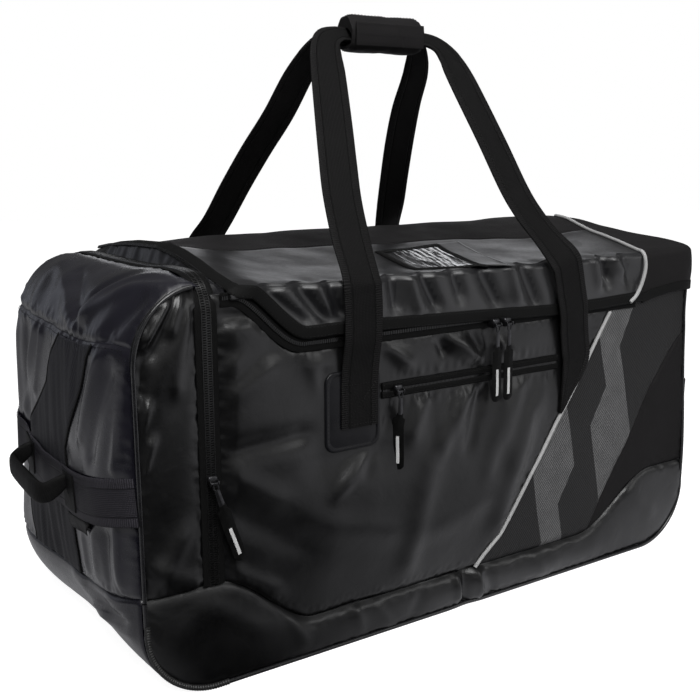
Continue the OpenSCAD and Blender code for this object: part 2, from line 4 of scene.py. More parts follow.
import bmesh
import bpy
import mathutils
import numpy as np
from numpy import (clip, column_stack, concatenate, cos, interp, linspace,
                   maximum, minimum, pi, sin, sqrt, stack)
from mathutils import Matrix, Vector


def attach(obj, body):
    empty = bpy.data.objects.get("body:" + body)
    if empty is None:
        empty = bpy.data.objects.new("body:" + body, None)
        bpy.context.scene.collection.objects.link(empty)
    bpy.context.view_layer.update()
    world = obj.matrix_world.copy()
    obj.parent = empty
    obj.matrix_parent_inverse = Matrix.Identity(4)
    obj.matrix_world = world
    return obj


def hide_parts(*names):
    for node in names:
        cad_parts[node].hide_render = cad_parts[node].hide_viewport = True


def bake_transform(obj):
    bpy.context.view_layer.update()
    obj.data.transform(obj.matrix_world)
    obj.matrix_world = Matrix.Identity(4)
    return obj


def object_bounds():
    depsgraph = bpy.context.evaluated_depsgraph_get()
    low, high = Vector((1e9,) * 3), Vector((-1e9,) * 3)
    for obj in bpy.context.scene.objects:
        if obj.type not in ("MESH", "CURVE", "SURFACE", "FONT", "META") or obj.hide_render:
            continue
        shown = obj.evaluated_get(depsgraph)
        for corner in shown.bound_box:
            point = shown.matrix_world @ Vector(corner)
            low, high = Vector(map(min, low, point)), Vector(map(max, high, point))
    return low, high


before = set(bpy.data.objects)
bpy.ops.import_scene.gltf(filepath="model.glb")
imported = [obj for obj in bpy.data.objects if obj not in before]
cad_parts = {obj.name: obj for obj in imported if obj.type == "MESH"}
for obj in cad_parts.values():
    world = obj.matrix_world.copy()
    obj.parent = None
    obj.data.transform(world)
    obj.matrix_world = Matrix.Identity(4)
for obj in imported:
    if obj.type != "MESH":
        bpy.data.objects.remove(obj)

cad_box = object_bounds()
cad_box = [[float(c) for c in corner] for corner in cad_box]

# Shapes are worked out in millimetres in the CAD frame: X along the bag, Y to the rear, Z up.
MM = 0.001
HALF, TOP, LONG = 200, 430, 415  # half the depth, height of the front fold, half the length
CORNER, HEEL = 82, 333  # radius of the lower corners, and where they begin
SHOULDER, SHOULDER_Z = 70, 360  # radius of the ends' upper turn, and where it begins
LID_LEFT, SKIRT_Y = -309, -203.4  # left edge of the lid, and the plane of its skirt
SKATE_X, POCKET_Z = -335, 300  # lines of the skate pocket's zip and of the front pocket's zip
SLIDER_Y, PIN_OUT, PIN_LOW = -203.3, 2.7, 1  # where sliders sit, and a pull's pin from its slider
PANEL_LEFT, PANEL_RIGHT = -328.5, 414.4  # upright edges of the cloth in the front and rear faces
GRAB_Z = 217  # height of the grab handles' feet
BEND_OUT, HALF_WEB = 212.5, 25  # how far out the handles bend, and half the width of their webbing
SIDES = ((-1, "front"), (1, "rear"))


def make_camera():
    data = bpy.data.cameras.new("camera")
    data.sensor_width, data.lens = 36, 49.12
    camera = bpy.data.objects.new("camera", data)
    camera.location = (-0.7176, -1.0621, 0.5799)
    camera.rotation_euler = (math.radians(77.5), 0, math.radians(-32.7))
    bpy.context.scene.collection.objects.link(camera)
    bpy.context.scene.camera = camera


make_camera()


# Curves and fields

def ease(t):
    t = clip(t, 0, 1)
    return t * t * (3 - 2 * t)


def bell(t):
    return np.exp(-np.square(t))


def arch(t, power=1):
    """0 at both ends of 0 to 1, and 1 in the middle."""
    return sin(pi * clip(t, 0, 1)) ** power


def clear(distance, reach):
    """0 on a thing, rising to 1 at some reach from it."""
    return 1 - bell(maximum(distance, 0) / reach)


def off_box(a, b, a0, a1, b0, b1):
    """Distance of points from a rectangle."""
    return np.hypot(maximum(maximum(a0 - a, a - a1), 0),
                    maximum(maximum(b0 - b, b - b1), 0))


def xyz(x, y, z):
    return stack(np.broadcast_arrays(x, y, z), -1)


def grid(a, b):
    """Two fields over a grid of steps; a count stands for even steps from 0 to 1."""
    a, b = (linspace(0, 1, v) if isinstance(v, int) else v for v in (a, b))
    return np.meshgrid(a, b, indexing="ij")


def noise(seed):
    """Smooth seeded noise over a plane, about -1 to 1, with one feature for each unit."""
    turn = np.random.default_rng(seed).uniform(0, 2 * pi, (64, 64))

    def value(a, b):
        a, b = np.broadcast_arrays(np.asarray(a, float), np.asarray(b, float))
        i, j = np.floor(a).astype(int), np.floor(b).astype(int)
        f, g = a - i, b - j

        def corner(p, q):
            t = turn[(i + p) % 64, (j + q) % 64]
            return cos(t) * (f - p) + sin(t) * (g - q)

        u, v = ease(f), ease(g)
        low = (1 - u) * corner(0, 0) + u * corner(1, 0)
        high = (1 - u) * corner(0, 1) + u * corner(1, 1)
        return 1.5 * ((1 - v) * low + v * high)

    return value


wide, mid, streak, ripple = (noise(seed) for seed in (3, 8, 21, 34))


def creases(a, b, table):
    """Ridges (amount over 0) and valleys along segments a0, b0, a1, b1, width, amount."""
    total = np.zeros(np.broadcast(a, b).shape)
    for a0, b0, a1, b1, width, amount in table:
        long = math.hypot(a1 - a0, b1 - b0)
        c, s = (a1 - a0) / long, (b1 - b0) / long
        along = (a - a0) * c + (b - b0) * s
        aside = (a - a0) * s - (b - b0) * c
        past = maximum(0, np.abs(along - long / 2) - long / 2)
        total = total + amount * np.exp(-(aside / width) ** 2 - (past / (1.6 * width)) ** 2)
    return total


def guard_z(x):
    return 48 + 72 * (1 - ease((x + 330) / 120) + ease((x - 205) / 145))


def bottom_z(x):
    """Lower edge of the front face, with its round corners."""
    over = clip(np.abs(x) - HEEL, 0, CORNER - 0.1)
    return CORNER - sqrt(CORNER ** 2 - over ** 2)


def panel_top(x):
    return 428 - 66 * ease((x + 315) / 85)


def zip_top(x):
    """Upper edge of the lid zip's tape on the body."""
    return TOP - 57 * ease((x + 305.5) / 85)


def skirt_low(x):
    """Lower edge of the lid's skirt, which sags at the right."""
    return zip_top(x) - interp(x, [-150, 30, 130, 220, 290], [0, 6, 10, 10, 7])


def trim_x(z):
    return interp(z, [46, 61, 85, 118, 161, 222, 284, 312, 339, 362],
                     [22, 36, 62, 83, 110, 152, 195, 214, 232, 248])


def seam_x(z):
    return interp(z, [53, 91, 184, 240, 300, 318], [228, 246, 303, 336, 394, 415])


def hood_left(y):
    return minimum(398, 299 + 0.37 * (y + HALF))


def shoulder_rise(y):
    """How far the skate pocket's top stands over the front fold."""
    return interp(y, [-200, -146, -109, -65, 8, 148, 200], [11, 15, 14, 10, 7, 4, 2])


def crown(x, y):
    """How far the top stands over the front fold."""
    t = clip((y + HALF) / (2 * HALF), 0, 1)
    ring = maximum(0, cos(pi / 2 * clip(y / HALF, -1, 1)))
    far, near = ease((x - 230) / 150), bell((x - LID_LEFT) / 75)
    middle = 24 * sin(pi * t ** 2.2) * (1 - 0.35 * far) + ring ** 0.6 * 14 * far
    left = interp(y, [-200, -150, -110, -69, -24, 30, 77, 140, 200],
                     [0, 8, 17, 24, 28, 25, 22, 15, 5])
    up = ease((x + 323) / 11)
    return (1 - up) * shoulder_rise(y) + up * (middle * (1 - near) + left * near)


# Segments of folds: x0, z0, x1, z1, width, amount
FRONT_FOLDS = [
    (-325, 345, -304, 363, 8, 2.2), (-330, 355, -307, 366, 8, -2.6),
    (-331, 326, -266, 362, 11, -1.2), (-332, 308, -270, 344, 10, 1.3),
    (-319, 392, -266, 396, 14, 1.7), (-329, 399, -291, 407, 8, -5),
    (-330, 263, -234, 267, 13, -3), (-320, 238, -266, 203, 15, 2.5),
    (-314, 202, -236, 148, 22, -3.5), (-327, 135, -268, 97, 13, 3.5),
    (-128, 240, -171, 208, 9, 2.2), (-118, 262, -141, 217, 9, -2.4),
    (-141, 217, -179, 195, 10, 1.8), (3, 281, -33, 228, 13, 3.5),
    (-29, 362, 5, 330, 12, 5.5), (-50, 371, -36, 341, 8, -4), (2, 368, 17, 336, 7, -4),
    (57, 334, 83, 305, 8, 3), (-112, 353, -89, 331, 10, 3), (-230, 383, -204, 334, 16, 3),
    (84, 279, 62, 225, 14, 3), (-57, 293, -78, 248, 12, 2.5), (67, 288, 36, 184, 13, 2),
    (110, 240, 85, 180, 14, 2), (-215, 160, -120, 130, 20, 2.5), (-40, 120, 40, 150, 22, 2),
    (25, 288, 6, 221, 10, -2.5), (87, 220, 59, 106, 16, 3), (-55, 195, -83, 86, 16, 2.5)]
GUARD_FOLDS = [
    (-240, 55, -231, 26, 8, 3), (-158, 43, -151, 13, 7, 2.5), (-128, 37, -107, 5, 7, 2.5),
    (8, 54, 5, 0, 6, -9), (25, 50, 30, 8, 5, 6), (-8, 46, -4, 14, 5, 4), (40, 48, 52, 10, 6, -3),
    (-330, 90, -290, 60, 12, 2.5), (-385, 70, -350, 95, 14, 2), (120, 45, 140, 10, 9, 2),
    (300, 95, 340, 60, 12, 2.5), (-60, 44, -75, 12, 8, -2)]
GUSSET_FOLDS = [
    (-358, 440, -372, 400, 5, 5), (-364, 428, -392, 378, 6, -5), (-375, 422, -399, 389, 4, 4),
    (-354, 405, -368, 342, 8, 4), (-403, 379, -408, 330, 6, -4), (-402, 322, -410, 295, 5, 6),
    (-398, 285, -406, 262, 5, 5), (-371, 177, -392, 143, 12, 4), (-395, 150, -360, 128, 12, 3)]
SKIRT_FOLDS = [
    (-267, 428, -227, 393, 10, 4), (-231, 432, -195, 390, 10, 4.5), (-191, 430, -178, 399, 8, 4),
    (-150, 430, -140, 395, 12, -3), (-110, 430, -105, 400, 9, 4), (-88, 430, -75, 395, 8, -3),
    (-70, 432, -49, 395, 8, 4), (-24, 430, -13, 403, 8, 3.5), (17, 430, 43, 389, 11, 4),
    (62, 430, 75, 395, 9, -3), (83, 430, 108, 383, 10, 4), (140, 428, 160, 390, 14, 3),
    (205, 430, 214, 400, 8, -3), (222, 434, 232, 405, 8, 5), (236, 432, 255, 412, 7, -3),
    (262, 430, 280, 395, 10, 3.5)]
# The same on the ends, with y and the way up the end
END_FOLDS = [
    (-184, 445, -94, 390, 8, 6), (-165, 462, -85, 394, 8, 5), (87, 431, -67, 384, 10, 5),
    (24, 430, -84, 387, 9, -5), (-194, 435, -161, 388, 10, -5), (-110, 440, -70, 392, 7, -4),
    (110, 455, 90, 395, 18, 4), (165, 440, 150, 385, 14, -3), (-197, 359, -181, 262, 6, 6),
    (-195, 327, -192, 275, 4, -5), (-157, 366, -116, 281, 9, 4.5), (-172, 350, -140, 268, 10, -4.5),
    (62, 359, 113, 256, 8, 4), (32, 360, 54, 292, 6, 4), (105, 350, 96, 240, 14, -4),
    (150, 340, 140, 230, 14, 4), (-132, 172, -117, 119, 10, 4), (-176, 188, -175, 133, 7, 4),
    (-86, 150, -84, 114, 8, 3), (-155, 178, -148, 123, 7, -4), (20, 190, 30, 110, 18, 3),
    (120, 190, 130, 110, 18, -3)]
FOOT_FOLDS = [
    (-30, 88, -120, 78, 9, 4), (-70, 90, -165, 88, 8, -4), (-100, 74, -180, 80, 9, 4),
    (-140, 104, -188, 98, 7, 4)]
# Where the cloth lies flat: x0, x1, z0, z1
FRONT_FLATS = ((-125, 154, 293, 307), (-197, -125, 238, 330), (150, 200, 320, 366))
REAR_FLATS = ((-191, -119, 238, 330), (129, 201, 238, 330))


def off_flats(x, z, flats, reach):
    return math.prod(clear(off_box(x, z, *flat), reach) for flat in flats)


def front_out(x, z):
    """How far the front cloth stands out of its plane."""
    belly = 7 * arch((z - guard_z(x)) / (panel_top(x) - guard_z(x)), 0.8)
    dent = 3.5 * np.exp(-((x - 142) / 30) ** 2 - ((z - 232) / 42) ** 2)
    lobes = bell((z - 270) / 45) * ((x > -125) & (x < 170)) * (z < POCKET_Z)
    broad = (belly - dent + 2 * wide(x / 120, z / 120) + 0.8 * mid(x / 45, z / 45)
             + 2.2 * lobes * streak(x / 22, z / 160))
    beside = bell((np.abs(z - POCKET_Z) - 15) / 8) * ease((x + 120) / 20) * ease((165 - x) / 20)
    pucker = 2.0 * beside * ripple(x / 9, np.sign(z - POCKET_Z) * 4)
    folds = 1.5 * creases(x, z, FRONT_FOLDS)
    h = sum(part * off_flats(x, z, FRONT_FLATS, reach)
            for part, reach in ((broad, 30), (folds, 10), (pucker, 5)))
    return h * clear(panel_top(x) - z, 14) * clear(x + 323, 10)


def guard_out(x, z):
    t = (z - bottom_z(x)) / (guard_z(x) - bottom_z(x))
    return (6 * arch(t, 0.7) + arch(t, 0.4) * creases(x, z, GUARD_FOLDS)
            + arch(t) * (1.8 * wide(x / 90, z / 70 + 7) + 0.8 * mid(x / 35, z / 35)))


def mesh_out(x, z):
    return (3.5 * arch((z - guard_z(x)) / (362 - guard_z(x)))
            + 1.2 * mid(x / 70, z / 70 + 11) * clear(362 - z, 14))


def rear_out(x, z):
    h = (9 * arch((z - guard_z(x)) / (428 - guard_z(x)), 0.8) + 3.5 * wide(x / 150 + 9, z / 120)
         + 1.6 * mid(x / 60, z / 60 + 5) + 1.5 * streak(x / 40, z / 150))
    return h * off_flats(x, z, REAR_FLATS, 16) * clear(428 - z, 14)


def corner_roll(x, z):
    """How far the front gusset's top corner beside the zip rolls back."""
    roll = 25 - sqrt(maximum(625 - clip(z - 417, 0, 24.9) ** 2, 0))
    return roll * ease((x + 410) / 45)


def rear_gusset_out(x, z):
    """The skate pocket's narrow rear face, with folds that hang from its top corner."""
    angle = np.arctan2(-338 - x, 446 - z)
    fan = sin(angle * 17 + 0.6) * clear(446 - z, 60) * bell((446 - z) / 190)
    h = (4 * arch((x + 413) / 66) + 2 * fan + 2 * wide(x / 60, z / 140 + 3)
         + creases(x, z, GUSSET_FOLDS))
    return h * clear(x + 413, 7) * clear(-345 - x, 6)


def gusset_out(x, z):
    """The narrow front face, the same with its rolled corner."""
    return rear_gusset_out(x, z) - corner_roll(x, z)


def end_seam(y):
    """Lower seam of the skate pocket's end, which falls to the rear."""
    return interp(y, [-200, -152, -86, -39, 23, 107, 200], [123, 112, 100, 95, 92, 88, 86])


def yoke_seam(y):
    return 373 + 9 * ease((-y - 90) / 110)


def off_edge(y, reach):
    return clear(HALF - np.abs(y), reach)


def end_swell(y, w):
    start = 30 - 50 * ease((y + 100) / 200)
    full = 27 * (1 - (y / HALF) ** 6) * arch((w - start) / (470 - start), 0.7)
    low = 12 * ease((y + 20) / 150) * bell((w - 80) / 62) * off_edge(y, 22) * ease(w / 40)
    return full + low


def end_out(y, w):
    """How far the left end stands out, for w measured up the end and on over its shoulder."""
    gather = 1.6 * ripple(y / 9, w / 60) * bell((w - 374) / 16) * bell((y + 90) / 70)
    h = (creases(y, w, END_FOLDS) + gather + 2.2 * streak(y / 44, w / 170)
         + 2 * wide(y / 90, w / 90 + 2) + 0.7 * mid(y / 34, w / 55))
    low = creases(y, w, FOOT_FOLDS) * clear(end_seam(y) - w, 7) * ease((w - 50) / 30)
    folds = h * clear(w - end_seam(y), 14) * clear(469 - w, 36) + low
    return end_swell(y, w) + folds * off_edge(y, 16)


def right_out(y, w):
    swell = 22 * (1 - (y / HALF) ** 2) * arch((w - 118) / 230)
    h = 2.6 * streak(y / 40 + 5, w / 120) + 2.5 * wide(y / 100 + 4, w / 90) + mid(y / 32, w / 40)
    return swell + h * off_edge(y, 18) * clear(w - 119, 16) * clear(352 - w, 12)


def end(y, w, lift=0.0, out=end_out):
    """A point on the left end: straight up at first, then round its shoulder."""
    y, w = np.broadcast_arrays(np.asarray(y, float), np.asarray(w, float))
    a = clip((w - SHOULDER_Z) / SHOULDER, 0, pi / 2)
    h = out(y, w) + lift
    foot = sqrt(CORNER ** 2 - clip(CORNER - w, 0, CORNER) ** 2) - CORNER
    past = maximum(0, w - SHOULDER_Z - SHOULDER * pi / 2)
    turn_x = SHOULDER - LONG - SHOULDER * cos(a) + past
    turn_z = SHOULDER_Z + SHOULDER * sin(a) + shoulder_rise(y) * sin(a) ** 2
    x = np.where(w < SHOULDER_Z, -LONG - foot, turn_x) - cos(a) * h
    z = np.where(w < SHOULDER_Z, w, turn_z) + sin(a) * h
    return xyz(x, y, z)


def lean_in(z, y=-200.0):
    """How far the right end's upright edges lean in."""
    return 17 * ease((z - 110) / 230) * ease((np.abs(y) - 40) / 160)


def right_end(y, w, lift=0.0):
    p = end(y, w, lift, right_out) * np.array((-1, 1, 1))
    p[..., 0] -= lean_in(p[..., 2], p[..., 1])
    return p


def skirt_out(x, z):
    folds = creases(x, z, SKIRT_FOLDS) * ease((z - skirt_low(x) + 6) / 30)
    return 1.2 - 2.2 * folds + 0.8 * mid(x / 40, z / 40 + 9)


def lid_z(x, y):
    h = 2.2 * wide(x / 110, y / 110 + 5) + 0.9 * mid(x / 42, y / 42)
    lobes = creases(x, TOP + 0 * x, SKIRT_FOLDS) * bell((y + HALF) / 22)
    return TOP + crown(x, y) + h * off_edge(y, 20) * clear(x - LID_LEFT, 12) + 0.5 * lobes


def lid(x, y, lift=0.0):
    x, y = np.broadcast_arrays(np.asarray(x, float), np.asarray(y, float))
    return xyz(x, y, lid_z(x, y) + lift)


# Materials

def colour(value):
    """A colour with its alpha; a number stands for a grey."""
    return (*value, 1) if isinstance(value, tuple) else (value, value, value, 1)


class Nodes:
    """Short ways to add shader nodes to a tree."""

    def __init__(self, tree, space):
        self.tree = tree
        self.at = self.add("TexCoord", out=space)

    def add(self, kind, ins=None, out=0, **props):
        """The output of a new node, whose inputs are given as values or as other outputs."""
        node = self.tree.nodes.new("ShaderNode" + kind)
        for key, value in props.items():
            setattr(node, key, value)
        self.feed(node, ins or {})
        return node.outputs[out]

    def feed(self, node, ins):
        for key, value in ins.items():
            if isinstance(value, bpy.types.NodeSocket):
                self.tree.links.new(value, node.inputs[key])
            else:
                node.inputs[key].default_value = value

    def join(self, kind, a, b=0.0):
        return self.add("Math", {0: a, 1: b}, operation=kind)

    def blend(self, *parts):
        """The sum of values times their weights."""
        terms = [self.join("MULTIPLY", *part) for part in parts]
        while len(terms) > 1:
            terms[-2:] = [self.join("ADD", *terms[-2:])]
        return terms[0]

    def span(self, value, low, high, start=0.3, stop=0.7):
        """A value between start and stop brought to the range low to high."""
        return self.add("MapRange", {"Value": value, "From Min": start, "From Max": stop,
                                     "To Min": low, "To Max": high}, "Result")

    def mix(self, value, dark, light):
        ends = (c if isinstance(c, bpy.types.NodeSocket) else colour(c) for c in (dark, light))
        return self.add("Mix", dict(zip("AB", ends), Factor=value), "Result", data_type="RGBA")

    def noise(self, scale, detail, **more):
        ins = {"Vector": self.at, "Scale": scale, "Detail": detail, **more}
        return self.add("TexNoise", ins, "Fac")

    def wave(self, pitch, way="X", bend=0.0, at=None):
        """Bands with a pitch in millimetres."""
        ins = {"Vector": self.at if at is None else at, "Scale": 314.16 / pitch,
               "Distortion": bend, "Detail": 1.0}
        return self.add("TexWave", ins, "Fac", bands_direction=way)

    def turned(self, degrees, scale=(1, 1, 1)):
        return self.add("Mapping", {"Vector": self.at, "Rotation": (0, 0, math.radians(degrees)),
                                    "Scale": scale}, "Vector")

    def axis(self, name):
        return self.add("SeparateXYZ", {"Vector": self.at}, name)


class Look(Nodes):
    """A material in the making."""

    def __init__(self, name, space="UV"):
        self.mat = bpy.data.materials.new(name)
        self.mat.use_nodes = True
        super().__init__(self.mat.node_tree, space)

    def done(self, tint, rough, specular, *bumps, **more):
        """Feeds the surface; bumps are height, depth in millimetres and strength, lowest first."""
        under = {}
        for height, depth, strength in bumps:
            ins = {"Height": height, "Distance": depth * MM, "Strength": strength, **under}
            under = {"Normal": self.add("Bump", ins, "Normal")}
        ins = {"Base Color": tint, "Roughness": rough, "Specular IOR Level": specular}
        self.feed(self.tree.nodes["Principled BSDF"], {**ins, **under, **more})
        return self.mat


def coated(name, dark, light, rough, specular=0.5):
    """Coated tarpaulin: satin, with a fine grain, soft creases and scuffs over a close weave."""
    n = Look(name)
    slow, scuff = n.noise(16, 3), n.noise(120, 6, Roughness=0.7)
    gloss = n.join("ADD", n.span(slow, rough - 0.05, rough + 0.05), n.span(scuff, -0.03, 0.04))
    weave = n.join("MULTIPLY", n.wave(0.9), n.wave(0.9, "Y"))
    return n.done(n.mix(n.span(slow, 0, 1), dark, light), gloss, specular,
                  (n.noise(45, 3, Distortion=0.6), 1.1, 0.35), (weave, 0.05, 0.25),
                  (n.noise(900, 2), 0.08, 0.3))


def woven(name, dark, light, rough, pitch, depth):
    """Plain woven cloth with threads at a pitch in millimetres."""
    n = Look(name)
    slow = n.noise(30, 4)
    over, under = n.wave(pitch, "X", 0.4), n.wave(pitch, "Y", 0.4)
    cloth = n.join("MAXIMUM", n.join("MULTIPLY", over, over), n.join("MULTIPLY", under, 0.8))
    return n.done(n.mix(n.blend((cloth, 0.55), (slow, 0.45)), dark, light),
                  n.span(slow, rough - 0.06, rough + 0.06), 0.1, (cloth, depth, 0.6),
                  (n.noise(1400, 2), 0.12, 0.4))


def ribbed(name, dark, light, rough, pitch, depth, cross=2.2):
    """Webbing: ribs across its length, herringbone rows along it."""
    n = Look(name)
    slow = n.noise(40, 4)
    cloth = n.blend((n.wave(pitch, "X", 0.25), 0.5), (n.wave(cross, "Y", 0.2), 0.3),
                    (n.wave(pitch * 1.6, "DIAGONAL", 0.3), 0.2))
    return n.done(n.mix(n.blend((cloth, 0.6), (slow, 0.4)), dark, light),
                  n.span(slow, rough - 0.05, rough + 0.07), 0.1, (cloth, depth, 0.7))


def edged(name, dark, light, rough):
    """Strap webbing: a plain middle between two grooves, with ribbed edges."""
    n = Look(name)
    slow = n.noise(40, 4)
    # Half the way round the webbing, a face's middle, and its grooves from there, in metres
    around, middle, line = 0.0495, 0.0235, 0.0144
    aside = n.join("ABSOLUTE", n.join("SUBTRACT", n.join("PINGPONG", n.axis("Y"), around), middle))
    edge = n.span(aside, 0, 1, line - 0.0006, line + 0.0006)
    groove = n.span(n.join("ABSOLUTE", n.join("SUBTRACT", aside, line)), 0, 1, 0.0004, 0.0013)
    weave = n.join("MULTIPLY", n.wave(1.7, "X", 0.25), n.wave(1.9, "Y", 0.25))
    mixed = n.add("Mix", {"Factor": edge, "A": weave, "B": n.wave(2.5, "X", 0.1)}, "Result")
    cloth = n.join("MULTIPLY", mixed, groove)
    return n.done(n.mix(n.blend((cloth, 0.7), (slow, 0.4)), dark, light),
                  n.span(slow, rough - 0.05, rough + 0.07), 0.1, (groove, 0.8, 0.8),
                  (cloth, 0.5, 0.8))


def cords(n, slant, pitch, cross, share):
    """Fine cords of a mesh at a slant in degrees."""
    at = n.turned(slant)
    return n.blend((n.wave(pitch, "X", 0.15, at), share), (n.wave(cross, "Y", 0.15, at), 1 - share))


def vent(name):
    """Mesh cloth: slanted cords over a dark ground, with long slanted marks in staggered rows."""
    n = Look(name)
    cord = cords(n, 35, 3.3, 1.4, 0.75)
    plain = n.mix(n.join("MULTIPLY", cord, cord), (0.0028, 0.0027, 0.0028), (0.019, 0.0185, 0.019))
    printed = n.mix(cord, (0.012, 0.012, 0.0125), (0.19, 0.19, 0.192))
    marks = n.add("TexBrick", {
        "Vector": n.turned(-34, (16, 5.5, 1)), "Scale": 1.0, "Mortar Size": 0.0, "Bias": 0.0,
        "Color1": colour(0), "Color2": colour(1), "Brick Width": 1.0, "Row Height": 1.0},
        "Color", offset=0.5)
    where = n.join("MULTIPLY", n.join("GREATER_THAN", marks, 0.55), n.span(n.noise(40, 3), 0.75, 1))
    return n.done(n.mix(where, plain, printed), 0.6, 0.3, (cord, 0.5, 0.8))


def plain_mesh(name):
    n = Look(name)
    cord = cords(n, 28, 3.0, 1.5, 0.7)
    return n.done(n.mix(cord, (0.004, 0.004, 0.005), (0.032, 0.032, 0.038)), 0.55, 0.1,
                  (cord, 0.5, 0.8))


def solid(name, dark, light, rough, grain, depth=0.05, specular=0.5, metal=0.0):
    """Moulded or metal trim with a worn, uneven finish."""
    n = Look(name, "Object")
    small = n.noise(grain, 3)
    return n.done(n.mix(n.span(n.noise(90, 4), 0, 1), dark, light),
                  n.span(small, rough - 0.07, rough + 0.07), specular, (small, depth, 0.4),
                  Metallic=metal)


def film(name):
    """Clear vinyl: mostly see-through, with painted highlights: bright white streaks stand in for the
    light its creases catch.
    """
    n = Look(name)
    crumple = n.noise(60, 4, Distortion=1.5)
    # Painted highlights: slanted streaks of glare, stronger towards one side, are painted white into
    # the film's colour and opacity.
    glare = n.noise(110, 3, Distortion=0.5, Vector=n.turned(-28, (2.0, 0.16, 1)))
    side = n.span(n.axis("X"), -0.12, 0.05, 0.01, 0.055)
    # The painted highlights, which also make the film opaque where they lie.
    white = n.span(n.join("ADD", glare, side), -0.6, 1.3)
    return n.done(n.mix(white, (0.02, 0.02, 0.022), (0.5, 0.505, 0.52)), n.span(crumple, 0.08, 0.2),
                  0.6, (crumple, 1.0, 0.6), Alpha=n.span(white, 0.0, 1.0))


LINING = woven("lining_cloth", (0.02, 0.02, 0.021), (0.045, 0.045, 0.047), 0.8, 1.1, 0.1)
FRONT_COAT = coated("coated_cloth", (0.0025, 0.0025, 0.0027), (0.0052, 0.0052, 0.0055), 0.33)
# The end coat is the same black tarp made lighter and tinted blue: a painted sheen for the bluish
# light that the left end catches.
END_COAT_PAINTED_SHEEN = coated("coated_cloth_end", (0.004, 0.0038, 0.0066), (0.0085, 0.008, 0.0135), 0.28)
STRIP_COAT = coated("coated_cloth_strip", (0.004, 0.004, 0.005), (0.008, 0.008, 0.0095), 0.3, 0.22)
# The lid coat is the same black tarp made lighter grey: a painted sheen for the reflection on the
# lid's top.
LID_COAT_PAINTED_SHEEN = coated("coated_cloth_lid", (0.008, 0.008, 0.0088), (0.0135, 0.0135, 0.0148), 0.36)
# The skirt coat is the same black tarp made lighter still: a painted sheen for the soft highlights on
# the lid's skirt.
SKIRT_COAT_PAINTED_SHEEN = coated("coated_cloth_skirt_painted_sheen", (0.016, 0.016, 0.0168), (0.026, 0.026, 0.0272), 0.36)
NYLON = woven("matte_nylon", (0.0055, 0.0052, 0.0055), (0.017, 0.016, 0.0166), 0.72, 1.2, 0.14)
MESH = vent("vent_mesh")
MESH_PLAIN = plain_mesh("vent_mesh_plain")
WEB = ribbed("webbing_black", 0.0015, (0.009, 0.0088, 0.009), 0.64, 1.9, 0.35)
STRAP = edged("strap_webbing", 0.0012, (0.0115, 0.011, 0.0113), 0.62)
# The end's band webbing is the strap webbing made lighter and tinted blue: a painted sheen for the
# bluish light on the left end.
END_STRAP_PAINTED_SHEEN = edged("strap_webbing_end", (0.007, 0.0068, 0.0085), (0.046, 0.043, 0.052), 0.55)
BIND = ribbed("binding_tape", 0.0014, 0.0078, 0.66, 1.2, 0.15, 1.2)
TAPE = woven("zip_tape_cloth", 0.001, 0.005, 0.7, 1.0, 0.12)
COIL = solid("zip_coil", 0.002, 0.005, 0.3, 600, specular=0.55)
STEEL = solid("slider_metal", (0.03, 0.03, 0.032), (0.06, 0.06, 0.064), 0.34, 700, metal=0.85)
PULL = solid("pull_rubber", 0.002, 0.005, 0.55, 900, 0.08, 0.08)
MARK = solid("pale_print", 0.5, 0.6, 0.5, 900)
PIPE = solid("piping_cover", (0.006, 0.006, 0.007), (0.012, 0.012, 0.013), 0.24, 800, 0.06)
SILVER = woven("reflective_cloth", 0.3, 0.46, 0.45, 0.7, 0.06)
RUBBER = solid("wear_rubber", 0.006, 0.013, 0.5, 900, 0.1)
WINDOW = film("clear_film")
LABEL = woven("label_weave", 0.002, 0.007, 0.6, 0.8, 0.08)
THREAD = solid("thread", 0.003, 0.007, 0.6, 1200, specular=0.2)


# Mesh building

def put(ob, body, slot, *nodes, blend=None):
    """Attaches a piece to its body, or with blend bakes its place into its mesh instead, and hides the
    CAD nodes it stands for; slot is not used.
    """
    if blend:
        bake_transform(ob)
    else:
        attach(ob, body)
    if nodes:
        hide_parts(*nodes)
    return ob


# Where cloth bends between the bag and a body that swings, in metres
FLAP_BEND = ((-0.415, 0, 0.1212), (-0.415, 0, 0.165))
END_BEND = ((-0.415, 0, 0.086), (-0.415, 0, 0.15))
FRONT_BEND = ((0, -0.2125, 0.405), (0, -0.2125, 0.455))
REAR_BEND = ((0, 0.2125, 0.405), (0, 0.2125, 0.455))


def mesh_piece(name, points, faces, mats, uv=None, smooth=True):
    mesh = bpy.data.meshes.new(name)
    mesh.from_pydata((np.asarray(points, float) * MM).tolist(), [], faces)
    for mat in mats:
        mesh.materials.append(mat)
    if uv is not None:
        layer = mesh.uv_layers.new(name="UVMap")
        corner = np.empty(len(mesh.loops), np.int32)
        mesh.loops.foreach_get("vertex_index", corner)
        layer.data.foreach_set("uv", (np.asarray(uv)[corner] * MM).ravel().astype(np.float32))
    mesh.polygons.foreach_set("use_smooth", np.full(len(mesh.polygons), smooth))
    mesh.update()
    ob = bpy.data.objects.new(name, mesh)
    bpy.context.scene.collection.objects.link(ob)
    return ob


def turn_out(ob, sharp=None):
    """Turns every face of a closed solid outward, and keeps edges over an angle crisp."""
    bm = bmesh.new()
    bm.from_mesh(ob.data)
    bmesh.ops.recalc_face_normals(bm, faces=bm.faces)
    bm.to_mesh(ob.data)
    bm.free()
    if sharp:
        ob.data.set_sharp_from_angle(angle=math.radians(sharp))


def quads(n, m, wrap=False):
    i, j = np.meshgrid(np.arange(n - 1), np.arange(m if wrap else m - 1), indexing="ij")
    k = (j + 1) % m
    return stack((i * m + j, i * m + k, (i + 1) * m + k, (i + 1) * m + j), -1).reshape(-1, 4)


